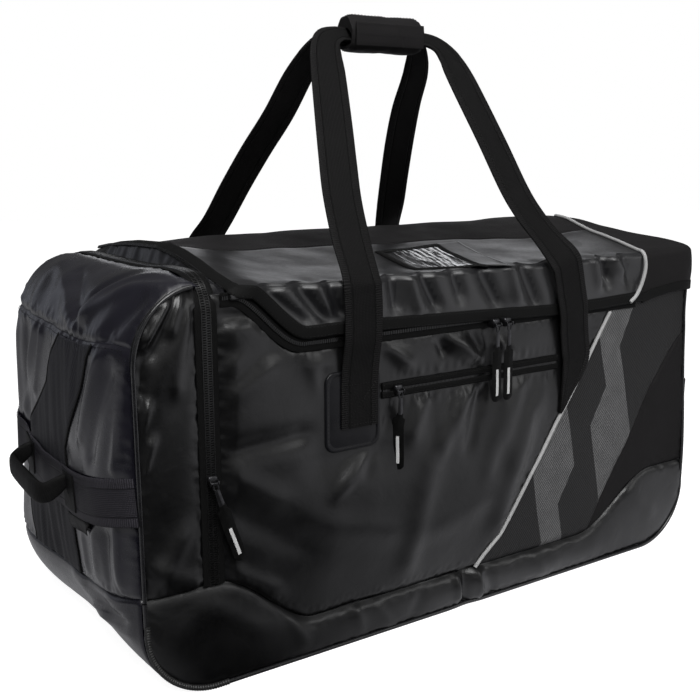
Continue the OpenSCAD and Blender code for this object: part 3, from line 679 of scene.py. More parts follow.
def run_length(points, axis):
    """Lengths along a grid of points."""
    total = np.cumsum(np.linalg.norm(np.diff(points, axis=axis), axis=-1), axis=axis)
    return concatenate((np.zeros_like(np.take(total, [0], axis)), total), axis)


def lengths(path):
    return run_length(path[:, None], 0)[:, 0]


def read_at(at, s, rows):
    """Rows of values known at lengths s, read at other lengths."""
    return stack([interp(at, s, column) for column in np.transpose(rows)], -1)


def unit(v):
    return v / maximum(np.linalg.norm(v, axis=-1, keepdims=True), 1e-6)


def closed(ring):
    return concatenate((ring, ring[:1]))


def surface(name, points, mats, out, body, slot, *nodes, thick=1.6, uv=None, blend=None,
            second=None):
    """A cloth sheet through rows of points, with its outer side towards out.

    Faces whose centre answers to second take the second finish."""
    n, m = points.shape[:2]
    faces = quads(n, m)
    a = points[1:, 1:] - points[:-1, :-1]
    b = points[1:, :-1] - points[:-1, 1:]
    if np.dot(np.cross(a, b).sum((0, 1)), out) < 0:
        faces = faces[:, ::-1]
    if uv is None:
        uv = run_length(points, 0), run_length(points, 1)
    ob = mesh_piece(name, points.reshape(-1, 3), faces.tolist(), mats,
                    stack(uv, -1).reshape(-1, 2))
    for face in ob.data.polygons if second else ():
        face.material_index = int(second(face.center))
    if thick:
        shell = ob.modifiers.new("cloth", "SOLIDIFY")
        shell.thickness, shell.offset = thick * MM, -1
        shell.material_offset, shell.material_offset_rim = len(mats) - 1, 0
    return put(ob, body, slot, *nodes, blend=blend)


def steps(n, edge=0.0):
    """n even steps from 0 to 1, with closer ones at both ends."""
    rim = np.array((0, edge, 2 * edge, 4 * edge) if edge else (0, 0.004, 0.009, 0.016, 0.026))
    return np.unique(concatenate((rim, linspace(0.04, 0.96, n), 1 - rim)))


def sewn_edge(d, a, b):
    """The dip and puckers of cloth beside a seam at distance d."""
    d = maximum(d, 0)
    return -2.4 * bell(d / 3.2) + 1.3 * ripple(a / 7, b / 7) * bell((d - 6) / 6)


def face_panel(name, node, edges, out, mats, n, slot="coated", body="bag", side=-1, x0=0.0,
               blend=None):
    """A panel in the front (side -1) or rear face.

    Its left and right edges give x for z, its lower and upper ones z for x; numbers are straight
    edges. n counts its steps, and x0 is a point to start from."""
    left, right, low, high = (e if callable(e) else lambda q, e=e: 0 * q + e for e in edges)
    u, v = grid(steps(n[0]), steps(n[1]))
    x = np.full(u.shape, float(x0))
    z = np.full(u.shape, 200.0)
    for _ in range(14):
        z = (1 - v) * low(x) + v * high(x)
        x = (1 - u) * left(z) + u * right(z)
    d = minimum(minimum(x - left(z), right(z) - x), minimum(z - low(x), high(x) - z))
    y = side * (HALF + out(x, z) + sewn_edge(d, x, z))
    pts = xyz(x - lean_in(z) * ease((x - 230) / 185), y, z)
    surface(name, pts, mats, (0, side, 0), body, slot, node, uv=(x, z), blend=blend)


def frames(path, up):
    """Unit vectors along a path, across it and off it, with the off vectors near the given ones."""
    t = unit(np.gradient(path, axis=0))
    w = unit(np.cross(t, np.broadcast_to(np.asarray(up, float), path.shape)))
    return t, w, np.cross(w, t)


def sweep(name, path, up, profile, mat, body, slot, *nodes, scale=None, blend=None):
    """A solid swept along a path; profile points are (across, off), scaled along the way."""
    path = np.asarray(path, float)
    _, w, o = frames(path, up)
    s = np.ones((len(path), 2)) if scale is None else np.asarray(scale, float)
    pts = path[:, None] + w[:, None] * (profile[None, :, :1] * s[:, None, :1]) \
        + o[:, None] * (profile[None, :, 1:] * s[:, None, 1:])
    n, m = pts.shape[:2]
    faces = quads(n, m, True)
    turned = (profile[1:, 0] * profile[:-1, 1] - profile[:-1, 0] * profile[1:, 1]).sum() > 0
    ends = [list(range(m)), list(range((n - 1) * m, n * m))]
    ends[int(turned)].reverse()
    uv = stack(np.meshgrid(lengths(path), lengths(closed(profile))[:-1], indexing="ij"), -1)
    faces = (faces[:, ::-1] if turned else faces).tolist() + ends
    ob = mesh_piece(name, pts.reshape(-1, 3), faces, [mat], uv.reshape(-1, 2))
    turn_out(ob, 50)
    return put(ob, body, slot, *nodes, blend=blend)


def polar(r, a):
    return stack((r * cos(a), r * sin(a)), -1)


def circle(n):
    return linspace(0, 2 * pi, n, endpoint=False)


def squared(a, power):
    """Radius of a circle drawn out towards four corners."""
    return 1 / (np.abs(cos(a)) ** power + np.abs(sin(a)) ** power) ** (1 / power)


def round_bar(r, sides=10):
    return polar(r, circle(sides))


def flat_bar(width, thick, n=8, swell=0.0):
    """Outline of webbing: flat faces with round edges."""
    h, r = width / 2, thick / 2
    x = linspace(-h + r, h - r, n)
    arc = swell * (1 - (x / h) ** 2)
    right = np.array([(h - 0.29 * r, 0.71 * r), (h, 0), (h - 0.29 * r, -0.71 * r)])
    return concatenate((stack((x, r + arc), -1), right, stack((x[::-1], -r + arc), -1),
                           -right))


def smooth_path(points, step):
    """A Catmull-Rom curve through points, cut at even steps; extra columns go along."""
    p = np.asarray(points, float)
    q = concatenate((2 * p[:1] - p[1:2], p, 2 * p[-1:] - p[-2:-1]))
    t = linspace(0, 1, 24, endpoint=False)[:, None]
    parts = [0.5 * (2 * b + (c - a) * t + (2 * a - 5 * b + 4 * c - d) * t ** 2
                    + (3 * b - a - 3 * c + d) * t ** 3)
             for a, b, c, d in zip(q, q[1:], q[2:], q[3:])]
    curve = concatenate(parts + [p[-1:]])
    s = lengths(curve[:, :3])
    return read_at(linspace(0, s[-1], max(2, int(round(s[-1] / step)) + 1)), s, curve)


class Heap:
    """Many small solids gathered into one piece."""

    def __init__(self):
        self.points, self.faces, self.count = [], [], 0

    def block(self, at, x, y, z):
        """Boxes at points, with half axes x, y, z given for each."""
        signs = np.array(list(itertools.product((-1, 1), repeat=3)), float)
        pts = at[:, None] + signs[None, :, :1] * x[:, None] + signs[None, :, 1:2] * y[:, None] \
            + signs[None, :, 2:] * z[:, None]
        self.take(pts, np.array([(0, 1, 3, 2), (4, 6, 7, 5), (0, 4, 5, 1), (2, 3, 7, 6),
                                 (0, 2, 6, 4), (1, 5, 7, 3)]))

    def stitch(self, path, up, pitch=4.6, size=0.42):
        """A row of thread along a path, lying on the side towards up."""
        path, up = np.asarray(path, float), np.asarray(up, float)
        s = lengths(path)
        if s[-1] < pitch:
            return
        at = np.arange(pitch / 2, s[-1], pitch)
        c = read_at(at, s, path)
        t = unit(read_at(at + 1, s, path) - c)
        w = unit(np.cross(t, read_at(at, s, up) if up.ndim == 2 else np.broadcast_to(up, t.shape)))
        o = np.cross(w, t)
        h = 0.36 * pitch
        pts = stack((c - t * h, c + t * h, c - w * size, c + w * size, c + o * size,
                        c - o * size), 1)
        self.take(pts, np.array([(0, 2, 4), (0, 4, 3), (0, 3, 5), (0, 5, 2),
                                 (1, 4, 2), (1, 3, 4), (1, 5, 3), (1, 2, 5)]))

    def teeth(self, path, up, pitch=2.6, size=(2.4, 0.62, 1.25), shift=0.0):
        """Zip teeth along a path."""
        s = lengths(path)
        at = np.arange(2 + shift, s[-1] - 2, pitch)
        t, w, o = (read_at(at, s, v) for v in frames(path, up))
        self.block(read_at(at, s, path) + o * 0.5, w * size[0], t * size[1], o * size[2])

    def take(self, pts, faces):
        n, m = pts.shape[:2]
        self.points.append(pts.reshape(-1, 3))
        first = np.arange(n) * m + self.count
        self.faces += (faces[None] + first[:, None, None]).reshape(-1, faces.shape[1]).tolist()
        self.count += n * m

    def build(self, name, mat, body, slot, blend=None):
        ob = mesh_piece(name, concatenate(self.points), self.faces, [mat], smooth=False)
        turn_out(ob)
        put(ob, body, slot, blend=blend)


bag_thread, lid_thread, flap_thread = Heap(), Heap(), Heap()


# Body panels

def corner_run(top, n):
    """Points down the end and round the lower corner: distance out, height and slope."""
    a0 = math.asin(max(0.0, CORNER - top) / CORNER)
    straight = max(0.0, top - CORNER)
    s = linspace(0, straight + CORNER * (pi / 2 - a0), n)
    a = a0 + maximum(0, s - straight) / CORNER
    z = np.where(s < straight, top - s, CORNER - CORNER * sin(a))
    return HEEL + CORNER * cos(a), z, a


def base_gusset():
    rows = []
    flat = linspace(-HEEL, HEEL, 120)[1:-1]
    far_x, far_z, _ = corner_run(119.4, 26)
    for y in linspace(-199.2, 199.2, 70):
        seam = float(end_seam(y))
        x, z, a = corner_run(seam, 26)
        h = end_out(np.full_like(z, y), z) * ease(z / 40) - 2.4 * bell((seam - z) / 3.2)
        kink = 1.6 * bell((flat - 8) / 14) + 0.6 + 0.6 * wide(flat / 90, y / 90)
        rows.append(concatenate((
            xyz(-x - h * cos(a), y, z - h * sin(a)),
            xyz(flat, y, maximum(kink, 0) * (abs(y) < 195)),
            xyz(far_x - lean_in(far_z, y), y, far_z)[::-1])))
    # Faces round the left end take the end coat, with its painted bluish sheen.
    surface("base_gusset_cloth", stack(rows, 1), [FRONT_COAT, END_COAT_PAINTED_SHEEN, LINING], (0, 0, -1),
            "bag", "coated", "base_gusset", second=lambda c: c.x < -0.336)


def guards():
    x = linspace(-410, 408, 200)
    edges = (-414.6, 414.6, lambda q: bottom_z(q) + 1.8, lambda q: guard_z(q) - 0.4)
    for side, tag in SIDES:
        name = tag + "_guard"
        face_panel(name + "_cloth", name, edges, guard_out, [FRONT_COAT, LINING], (170, 22),
                   side=side)
        sweep(name + "_seam_tape", xyz(x, side * 195.2, guard_z(x)), (0, -side, 0),
              flat_bar(16, 1.0, 4), LINING, "bag", "lining")


def face_panels():
    face_panel("front_panel_cloth", "front_panel", (PANEL_LEFT, trim_x, guard_z, panel_top), front_out,
               [FRONT_COAT, LINING], (176, 124))

    def mesh_right(z):
        return np.where(z > 318, PANEL_RIGHT, seam_x(z))

    face_panel("mesh_vent_cloth", "mesh_vent_panel", (trim_x, mesh_right, guard_z, 389), mesh_out,
               [MESH, LINING], (50, 66), "mesh", x0=200)
    face_panel("right_corner_cloth", "right_corner_panel", (seam_x, PANEL_RIGHT, guard_z, 317.5),
               mesh_out, [NYLON, LINING], (40, 52), "nylon", x0=360)
    face_panel("rear_panel_cloth", "rear_panel", (PANEL_LEFT, PANEL_RIGHT, guard_z, 427.4),
               rear_out, [FRONT_COAT, LINING], (130, 76), side=1)


def inner_panels():
    edge, low, high = 197.4, 3, 425
    y, z = grid(linspace(-edge, edge, 60), linspace(low, high, 64))
    free = clear(edge - np.abs(y), 25) * clear(z - low, 25) * clear(high - z, 20)
    x = -323.6 + (4 * wide(y / 120, z / 120) + 1.5 * mid(y / 45, z / 45) + 3) * free
    surface("divider_cloth", xyz(x, y, z), [LINING], (1, 0, 0), "bag", "lining", "divider_panel",
            thick=1.2)
    u, v = grid(70, 52)
    x, z = -124 + 288 * u, 111 + 201 * v
    bulge = (sin(pi * u) * sin(pi * v)) ** 0.35
    y = -197.6 + bulge * (12 + 1.6 * wide(x / 80, z / 80) + 0.8 * mid(x / 30, z / 30))
    surface("pocket_pouch_cloth", xyz(x, y, z), [LINING], (0, 1, 0), "bag", "lining",
            "front_pocket_pouch", thick=0.8)


def right_end_panel():
    low, edge = 118.4, 199.6
    y, w = grid(linspace(-edge, edge, 84),
                concatenate(([low, 120, 122, 125], linspace(130, 386, 60))))
    pts = right_end(y, w, sewn_edge(minimum(w - low, edge - np.abs(y)), y, w))
    surface("right_end_cloth", pts, [FRONT_COAT, LINING], (1, 0, 0), "bag", "coated",
            "right_end_panel", uv=(y, w))
    z = linspace(96, 382, 60)
    for side, tag in SIDES:
        sweep("right_%s_seam_tape" % tag, xyz(409.8 - lean_in(z), 195.4 * side, z), (0, side, 0),
              round_bar(2.6), LINING, "bag", "lining")


def top_strip():
    ends = np.array((0, 0.5, 1.2, 2.2, 3.6, 5.4, 7.8, 11))
    edge = 199.6
    u, y = grid(16, concatenate((ends - edge, linspace(-184, 184, 104), edge - ends[::-1])))
    x = PANEL_LEFT + 18.3 * u
    crumple = (sin(pi * u) * (2.2 * ripple(y / 15, u * 1.5) + 1.4 * streak(y / 28, u))
               * clear(edge - np.abs(y), 14))
    rolled = interp(y, [-200, -195.5, -188, -177, -165, 172, 184, 193, 200],
                       [416, 427, 436, 442, 480, 480, 433, 429, 416])
    pts = xyz(x - 0.5 * crumple, y, minimum(TOP + crown(x, y), rolled) + crumple)
    surface("top_strip_cloth", pts, [STRIP_COAT, LINING], (-1, 0, 1), "bag", "coated",
            "top_left_strip")


base_gusset()
guards()
face_panels()
inner_panels()
right_end_panel()
top_strip()


# Skate pocket

def end_panels():
    edge = 198.4
    for name, node, low, high, n, out, blend in (
            ("end_panel_cloth", "end_panel", end_seam, yoke_seam, 104, (-1, 0, 0), END_BEND),
            ("end_top_cloth", "flap_top_gusset", yoke_seam, lambda y: 474 + 0 * y, 44, (-1, 0, 1),
             None)):
        y, t = grid(-edge + 2 * edge * steps(150, 0.006), steps(n))
        w = low(y) + (high(y) - low(y)) * t
        d = minimum(minimum(w - low(y), high(y) - w), edge - np.abs(y))
        # The end's cloth takes the end coat, with its painted bluish sheen.
        surface(name, end(y, w, sewn_edge(d, y, w)), [END_COAT_PAINTED_SHEEN, LINING], out, "end_flap", "coated",
                node, uv=(y, w), blend=blend)


def vent_edges(w):
    """Front and rear edge of the end's mesh strip."""
    return (interp(w, [103, 137, 175, 225, 252, 286, 330, 363, 381],
                      [-54, -53, -58, -62, -58, -84, -114, -128, -146]),
            interp(w, [103, 161, 222, 275, 312, 332, 353, 376],
                      [85, 122, 108, 49, 4, -3, -20, -48]))


def end_details():
    u, t = grid(50, 110)
    w = 100 + 276 * t
    for _ in range(4):
        a, b = vent_edges(w)
        y = a + (b - a) * u
        w = (end_seam(y) + 3) * (1 - t) + (yoke_seam(y) - 2.5) * t
    edge = minimum(u, 1 - u) * (b - a)
    lift = 1.5 - 1.6 * bell(edge / 1.6) + 1.6 * streak(y / 13, w / 110) * clear(edge, 8)
    surface("end_vent_mesh", end(y, w, lift), [MESH_PLAIN], (-1, 0, 0), "end_flap", "mesh",
            "end_vent_strip", thick=0.6, uv=(y, w), blend=END_BEND)
    for row, off in ((0, -2.6), (-1, 2.6)):
        sweep("end_vent_edge_%d" % -row, smooth_path(end(y[row] + 0.3 * off, w[row], 0.8), 4),
              (-1, 0, 0.2), flat_bar(3.4, 1.6, 4), BIND, "end_flap", "webbing", blend=END_BEND)
        flap_thread.stitch(end(y[row] + 1.6 * off, w[row], 0.5), (-1, 0, 0.2))
    y = linspace(-190, 190, 160)
    flap_thread.stitch(end(y, yoke_seam(y) - 4, 0.3), (-1, 0, 0.1))


def band_middle(y):
    return 228 - 25 * cos(pi / 2 * clip(y / HALF, -1, 1))


def bands():
    """The bands of both ends, and the feet of the grab handles sewn over them."""
    y = linspace(-200.5, 200.5, 120)
    corners = list(itertools.product((60, 96), (-17, 17)))
    for side, tag, place, middle, width, web, body, heap in (
            # The left end's band takes the lighter bluish webbing, with its painted sheen.
            (-1, "end", end, band_middle, 50, END_STRAP_PAINTED_SHEEN, "end_flap", flap_thread),
            (1, "right", right_end, lambda y: 0 * y + GRAB_Z, 52, STRAP, "bag", bag_thread)):
        up = (side, 0, 0)
        lift = 3.1 - 2.4 * ease((np.abs(y) - 193) / 7)
        sweep(tag + "_band_webbing", place(y, middle(y), lift), up, flat_bar(width, 2.4, 9), web,
              body, "webbing", tag + "_band")
        for off in (-21, 21):
            heap.stitch(place(y, middle(y) + off, 4.2), up)
        for way, where in SIDES:
            q = way * linspace(58, 98, 24)
            sweep("%s_grab_foot_%s" % (tag, where), place(q, middle(q), 5.0), up,
                  flat_bar(40, 1.6, 8), WEB, body, "webbing")
            for (a, b), (c, d) in itertools.combinations(corners, 2):
                q = way * linspace(a, c, 24)
                heap.stitch(place(q, middle(q) + linspace(b, d, 24), 6.0), up)
        for row in (-77, -59, 59, 77):
            heap.stitch(place(row, 214 + linspace(-16, 16, 12), 4.3), up, 3)


def end_label():
    u, v = grid(26, 10)
    y = -46 - 73 * u - (17 + 3 * u) * v
    pts = end(y, 157 + 13 * u + (22 - u) * v, 3.0 + 3.0 * v)
    surface("end_label_tab", pts, [LABEL], (-1, 0, 0), "end_flap", "label", "end_label", thick=1.0)
    rim = concatenate((pts[1:-1, 1], pts[-2, 1:-1], pts[1:-1, -2][::-1], pts[1, 1:-1][::-1]))
    flap_thread.stitch(rim + (-0.4, 0, 0), (-1, 0, 0), 3, 0.3)


def gussets():
    """The pocket's narrow faces, each with a facing inside its corner."""
    facing = np.array([(-408.5, 189), (-409, 193), (-407, 195.4), (-398, 195.4), (-385, 195.4),
                       (-372, 195.4)])
    z = linspace(114, 190, 40)[:, None]
    # The rear face takes the end coat, with its painted bluish sheen.
    for (side, tag), coat, out in zip(SIDES, (FRONT_COAT, END_COAT_PAINTED_SHEEN), (gusset_out, rear_gusset_out)):
        rise = float(shoulder_rise(HALF * side))

        def left(z):
            up = maximum(z - SHOULDER_Z, 0) / (SHOULDER + rise)
            return SHOULDER - LONG - 69.5 * sqrt(maximum(1 - up ** 2, 0))

        name = "flap_%s_gusset" % tag
        face_panel(name + "_cloth", name, (left, -341.5, 120.6, 429.4 + rise), out, [coat, LINING],
                   (24, 84), body="end_flap", side=side, x0=-380, blend=FLAP_BEND)
        surface(name + "_facing", xyz(facing[:, 0], side * facing[:, 1], z), [LINING],
                (0, side, 0), "end_flap", "lining", thick=0.8, blend=END_BEND)


end_panels()
end_details()
bands()
end_label()
gussets()


# Lid

FOLD_R, SKIRT_RIGHT = 7, 301  # radius of the lid's front fold, and where it ends


def fold_z(x):
    return TOP + 1.8 * ripple(x / 42, 3) + 0.8 * ripple(x / 17, 8)


def skirt(x, z, lift=0.0):
    return xyz(x, SKIRT_Y - skirt_out(x, z) - lift, z)


def rear_seam(x):
    """Seam between the lid's coated front and its matte rear strip."""
    return interp(x, [-300, -115, 0, 145, 250, 340], [-9, -9, -17, -22, -42, -46])


def lid_x(y, s):
    return LID_LEFT + (hood_left(y) + 308) * s


def lid_front():
    a = linspace(0, pi / 2, 7)[1:]
    y_top = concatenate((linspace(SKIRT_Y + FOLD_R, -180, 8)[1:],
                            linspace(-180, -1, 40)[1:]))
    rows = []
    for s in steps(130, 0.004):
        x_low = LID_LEFT + (SKIRT_RIGHT - LID_LEFT) * s
        z1 = TOP - FOLD_R
        z0 = min(float(skirt_low(x_low)), z1 - 0.5)
        z = concatenate((z0 + np.array((0, 0.5, 1.5)), linspace(z0 + 3, z1, 14)))
        p = skirt(np.full(len(z), x_low), z)
        y_in = p[-1, 1] + FOLD_R
        rise = float(fold_z(x_low)) - TOP
        p[:, 2] += rise * ease((z - z0) / (z1 - z0))
        arc = xyz(x_low, y_in - FOLD_R * cos(a), rise + z1 + FOLD_R * sin(a))
        seam = float(rear_seam(lid_x(-20, s)))
        y = y_in + (y_top - y_top[0]) * (seam - y_in) / (-1 - y_top[0])
        top = lid(lid_x(y, s), y, rise * bell((y - y_in) / 25))
        rows.append(concatenate((p, arc, top)))
    # The lid takes the lid coat and its skirt faces the skirt coat: both are the black tarp lightened
    # with painted sheen.
    surface("lid_front_cloth", stack(rows), [LID_COAT_PAINTED_SHEEN, SKIRT_COAT_PAINTED_SHEEN, LINING], (0, -1, 1), "lid",
            "lid_coated", "lid_top_panel", "lid_front_skirt",
            second=lambda c: c.y < -0.199 and c.z < 0.424)


def lid_rear():
    back = concatenate(([0, 1, 2.2, 4], linspace(6.6, 190.6, 46), [193.6, 196.1, 197.6]))
    t, s = grid(back / back[-1], steps(120, 0.004))
    seam = rear_seam(lid_x(-20, s))
    y = seam - 4 + (201 - seam) * t
    dip = -1.9 * ease((seam + 3.4 - y) / 2.6) - 4 * bell((197.5 - y) / 5)
    surface("lid_rear_cloth", lid(lid_x(y, s), y, dip), [NYLON, LINING], (0, 0, 1), "lid", "nylon",
            "lid_rear_strip")
    x = linspace(-300, 330, 300)
    lid_thread.stitch(lid(x, rear_seam(x) + 6, 0.3), (0, 0, 1))
    y = linspace(-190, 192, 90)
    sweep("hood_seam_tape", lid(hood_left(y) - 0.5, y, -2.4), (0, 0, 1), flat_bar(14, 0.8, 4),
          LINING, "lid", "lining")
    sweep("lid_hinge_fold", xyz(linspace(-308, 397, 120), 198.0, TOP), (0, 0, 1),
          round_bar(3.9), NYLON, "bag", "nylon")


def hood_edge(s):
    """The hood's outline from above and its outward normals: along the right side, round the
    corner and along the front."""
    r, x, y = 40, 384, -163.4
    a = linspace(0, pi / 2, 14)[1:]
    pts = concatenate((
        stack((np.full(30, x + r), linspace(188, y, 30)), -1),
        stack((x + r * cos(a), y - r * sin(a)), -1),
        stack((linspace(x, 300, 16)[1:], np.full(15, y - r)), -1)))
    length = lengths(pts)
    at = s * length[-1]
    ahead = unit(read_at(at + 1, length, pts) - read_at(at - 1, length, pts))
    return read_at(at, length, pts), stack((-ahead[:, 1], ahead[:, 0]), -1)


def hood():
    s = linspace(0, 1, 110)
    edge, normal = hood_edge(s)
    normal = np.where(normal[:, :1] - normal[:, 1:] < 0, -normal, normal)
    r = 22 - 13 * ease((s - 0.55) / 0.15)
    inner = edge - normal * r[:, None]
    y_in = interp(s, [0, 0.62, 1], [188, -120, -194])
    foot = interp(s, [0, 0.65, 0.72, 0.84, 0.89, 0.95, 1], [368, 370, 373, 377, 375, 371, 365])
    t = concatenate(([0, 0.03, 0.08], linspace(0.16, 1, 12)))[:, None]
    a = linspace(0, pi / 2, 7)[1:]
    drop = linspace(0, 1, 12)[1:]
    rows = []
    for k in range(len(s)):
        flat = np.array((hood_left(y_in[k]), y_in[k])) * (1 - t) + inner[k] * t
        z = lid_z(flat[:, 0], flat[:, 1]) - 1.6 * bell(t[:, 0] * 40 / 3)
        turn = column_stack((inner[k] + normal[k] * (r[k] * sin(a))[:, None],
                                z[-1] - r[k] * (1 - cos(a))))
        low = turn[-1, 2] + (foot[k] - turn[-1, 2]) * drop
        puff = sin(pi * drop) * (2.2 + 1.8 * streak(s[k] * 18, 3.3)) \
            + 0.8 * mid(s[k] * 20, low / 40)
        wall = column_stack((turn[-1, :2] + normal[k] * puff[:, None], low))
        rows.append(concatenate((column_stack((flat, z)), turn, wall)))
    pts = stack(rows)
    surface("lid_hood_cloth", pts, [NYLON, LINING], (1, -1, 1), "lid", "nylon", "lid_hood",
            "lid_hood_front")
    up = column_stack((normal, np.zeros(len(s))))
    rim = smooth_path(column_stack((pts[:, -1] + up + (0, 0, 4.0), up)), 6)
    sweep("hood_binding_tape", rim[:, :3], rim[:, 3:], flat_bar(13, 2.2, 5), BIND, "lid", "webbing")


def lid_trim():
    x = concatenate((linspace(299, -200, 120), linspace(-203, -296, 70)))
    slope = np.gradient(skirt_low(x), x)
    n = sqrt(1 + slope ** 2)
    lower = skirt(x - 6.5 * slope / n, minimum(skirt_low(x) + 6.5 / n, 428), 1.0)[:-6]
    y = linspace(-186, 190, 90)
    path = concatenate((lower, [(-302.5, -203.5, 430.5), (-304, -198, 433.5)],
                           lid(-303.0, y, 1.2)))
    up = concatenate((np.tile((0, -1, 0), (len(lower), 1)),
                         [(-0.3, -0.8, 0.5), (-0.4, -0.3, 0.85)],
                         np.tile((-0.45, 0, 0.9), (len(y), 1))))
    both = smooth_path(column_stack((path, up)), 4)
    path, up = both[:, :3], both[:, 3:]
    sweep("lid_binding_tape", path, up, flat_bar(14.5, 2.4, 6, 0.4), BIND, "lid", "webbing",
          "lid_binding")
    _, w, o = frames(path, up)
    for off in (-5, 5):
        lid_thread.stitch(path + w * off + o * 1.4, up)
    y = linspace(-192, 60, 60)
    path = concatenate(([(274, -208, 367), (285, -208.4, 376), (294, -208.6, 392),
                            (299, -208.4, 410), (299, -206.5, 425), (300, -200, 432)],
                           lid(hood_left(y), y, 1.6)))
    sweep("lid_piping_cord", smooth_path(path, 3), (0.3, -0.5, 0.8), round_bar(2.5), SILVER, "lid",
          "reflective", "lid_piping")
    x = linspace(-296, 294, 150)
    sweep("lid_zip_upper_tape", xyz(x, -199.2, minimum(skirt_low(x) + 3, 424)), (0, -1, 0),
          flat_bar(13, 0.9, 4), TAPE, "lid", "zip_tape", "lid_zip_lid_tape")
    y = linspace(-194, 186, 60)
    sweep("hood_zip_upper_tape", xyz(420.0 - 0.5 * lean_in(380, y), y, 380.0), (1, 0, 0),
          flat_bar(13, 1.0, 4), TAPE, "lid", "zip_tape")


def window_at(u, v):
    """A point of the lid in the window's frame: u across, v to the rear, 0 to 1 at its corners."""
    x = (1 - v) * (-44 + 72 * u) + v * (-27 + 92 * u)
    y = (1 - v) * (-160 - 26 * u) + v * (-64 + 8 * u)
    return x, y


def identity_window():
    up = (0, 0, 1)
    u, v = grid(60, 46)
    x, y = window_at(u, v)
    edge = 90 * minimum(minimum(u, 1 - u), minimum(v, 1 - v))
    crumple = 2.2 * ripple(x / 30 + y / 60, y / 40) + 1.2 * streak(x / 14 + y / 25, y / 90)
    surface("identity_film", lid(x, y, 1.2 + np.abs(crumple * clear(edge, 9))), [WINDOW], up, "lid",
            "window", "id_window", thick=0.4, uv=(100 * u, 100 * v))
    t = linspace(0, 1, 24)[:-1]
    ring = closed(concatenate([stack(q, -1) for q in (
        (t, 0 * t), (0 * t + 1, t), (1 - t, 0 * t + 1), (0 * t, 1 - t))])) - 0.5

    def around(size, lift):
        return lid(*window_at(*(0.5 + ring * size).T), lift)

    rows = [around(*q) for q in ((1.2, 0.2), (1.18, 1.6), (1.09, 2.0), (1.01, 1.8), (0.98, 0.6))]
    surface("identity_frame", stack(rows), [BIND], up, "lid", "coated", "id_frame", thick=0.6)
    lid_thread.stitch(around(1.14, 2.2), up)
    u, v = grid(linspace(1.06, 1.5, 16), linspace(-0.08, 1.08, 30))
    flap = lid(*window_at(u, v), 2.6 + 0.6 * sin(9 * v) * (u - 1))
    # The flap takes the lid coat, with its painted sheen.
    surface("identity_flap", flap, [LID_COAT_PAINTED_SHEEN], up, "lid", "lid_coated", thick=1.2)
    lid_thread.stitch(lid(*window_at(1.44, linspace(-0.06, 1.06, 40)), 3.4), up)


lid_front()
lid_rear()
hood()
lid_trim()
identity_window()


# Zips

def skate_zip():
    """A zip that runs up the front, over the top and down the rear."""
    y = linspace(-150, 160, 90)
    path = concatenate((
        [(-200.8, z) for z in linspace(119, 408, 90)],
        [(-199.6, 417), (-195.5, 427), (-188, 436), (-177, 442.5), (-165, 446)],
        stack((y, 432.4 + shoulder_rise(y)), -1),
        [(172, 434.8), (184, 433), (193, 429), (198.6, 422), (200.4, 413)],
        [(200.8, z) for z in linspace(406, 119, 90)]))
    path = smooth_path(column_stack((np.full(len(path), SKATE_X), path)), 4)
    t = np.gradient(path, axis=0)
    up = xyz(0, -t[:, 2], t[:, 1])
    for side, tag, body, node, blend, shift in (
            (1, "bag", "bag", "skate_zip_body_tape", None, 0),
            (-1, "flap", "end_flap", "skate_zip_flap_tape", FLAP_BEND, 1.3)):
        sweep(node + "_ribbon", path + (side * 6.4, 0, 0), up, flat_bar(11.6, 1.0, 5, 0.5), TAPE,
              body, "zip_tape", node, blend=blend)
        heap = Heap()
        heap.teeth(path + (side * 1.7, 0, 0), up, shift=shift)
        heap.build("skate_zip_teeth_" + tag, COIL, body, "zip_metal", blend)
        sweep("skate_zip_cord_" + tag, path + (side * 4.9, 0, 0) + unit(up) * 0.9, up,
              round_bar(0.9, 6), COIL, body, "zip_metal", blend=blend)


def lid_zip():
    x = concatenate((linspace(-317, -200, 90), linspace(-195, 294, 100)))
    slope = np.gradient(zip_top(x), x)
    n = sqrt(1 + slope ** 2)
    line = xyz(x - 2 + 8 * slope / n, -201.2, zip_top(x) - 8 / n)
    sweep("lid_zip_tape_ribbon", line, (0, -1, 0), flat_bar(15, 0.9, 5), TAPE, "bag", "zip_tape",
          "lid_zip_body_tape")
    heap = Heap()
    heap.teeth(line + xyz(-2.2 * slope / n, -0.7, 2.2 / n), (0, -1, 0), 2.4, (2.0, 0.6, 1.1))
    y = linspace(-180, 186, 90)
    heap.teeth(xyz(-313.5, y, 431.5 + crown(-313.5, y)), (-0.8, 0, 0.6), 2.4, (1.8, 0.6, 1.0))
    heap.build("lid_zip_teeth", COIL, "bag", "zip_metal")
    y = linspace(-194, 186, 60)
    sweep("right_zip_tape_ribbon", xyz(412.5 - lean_in(374, y), y, 374.0), (1, 0, 0),
          flat_bar(13, 1.0, 4), TAPE, "bag", "zip_tape")


def pocket_zip():
    x = linspace(-122, 151, 110)
    for side, tag, nodes in ((1, "upper", ["pocket_zip_tape"]), (-1, "lower", [])):
        off = 5.2 * side
        line = xyz(x, -201.2, POCKET_Z + off + 0.5 * ripple(x / 30, off))
        sweep("pocket_zip_%s_lip" % tag, line, (0, -1, 0), flat_bar(8.2, 2.2, 6, 0.5), TAPE, "bag",
              "zip_tape", *nodes)
        bag_thread.stitch(line + (0, -2.2, 1.6 * side), (0, -1, 0), 4, 0.35)
    heap = Heap()
    heap.teeth(xyz(x, -200.6, POCKET_Z), (0, -1, 0), 2.0, (1.5, 0.55, 0.8))
    heap.build("pocket_zip_teeth", COIL, "bag", "zip_metal")


skate_zip()
lid_zip()
pocket_zip()


# Patches, straps and handles

PATCH = np.array((36, 46))  # half the width and height of a patch


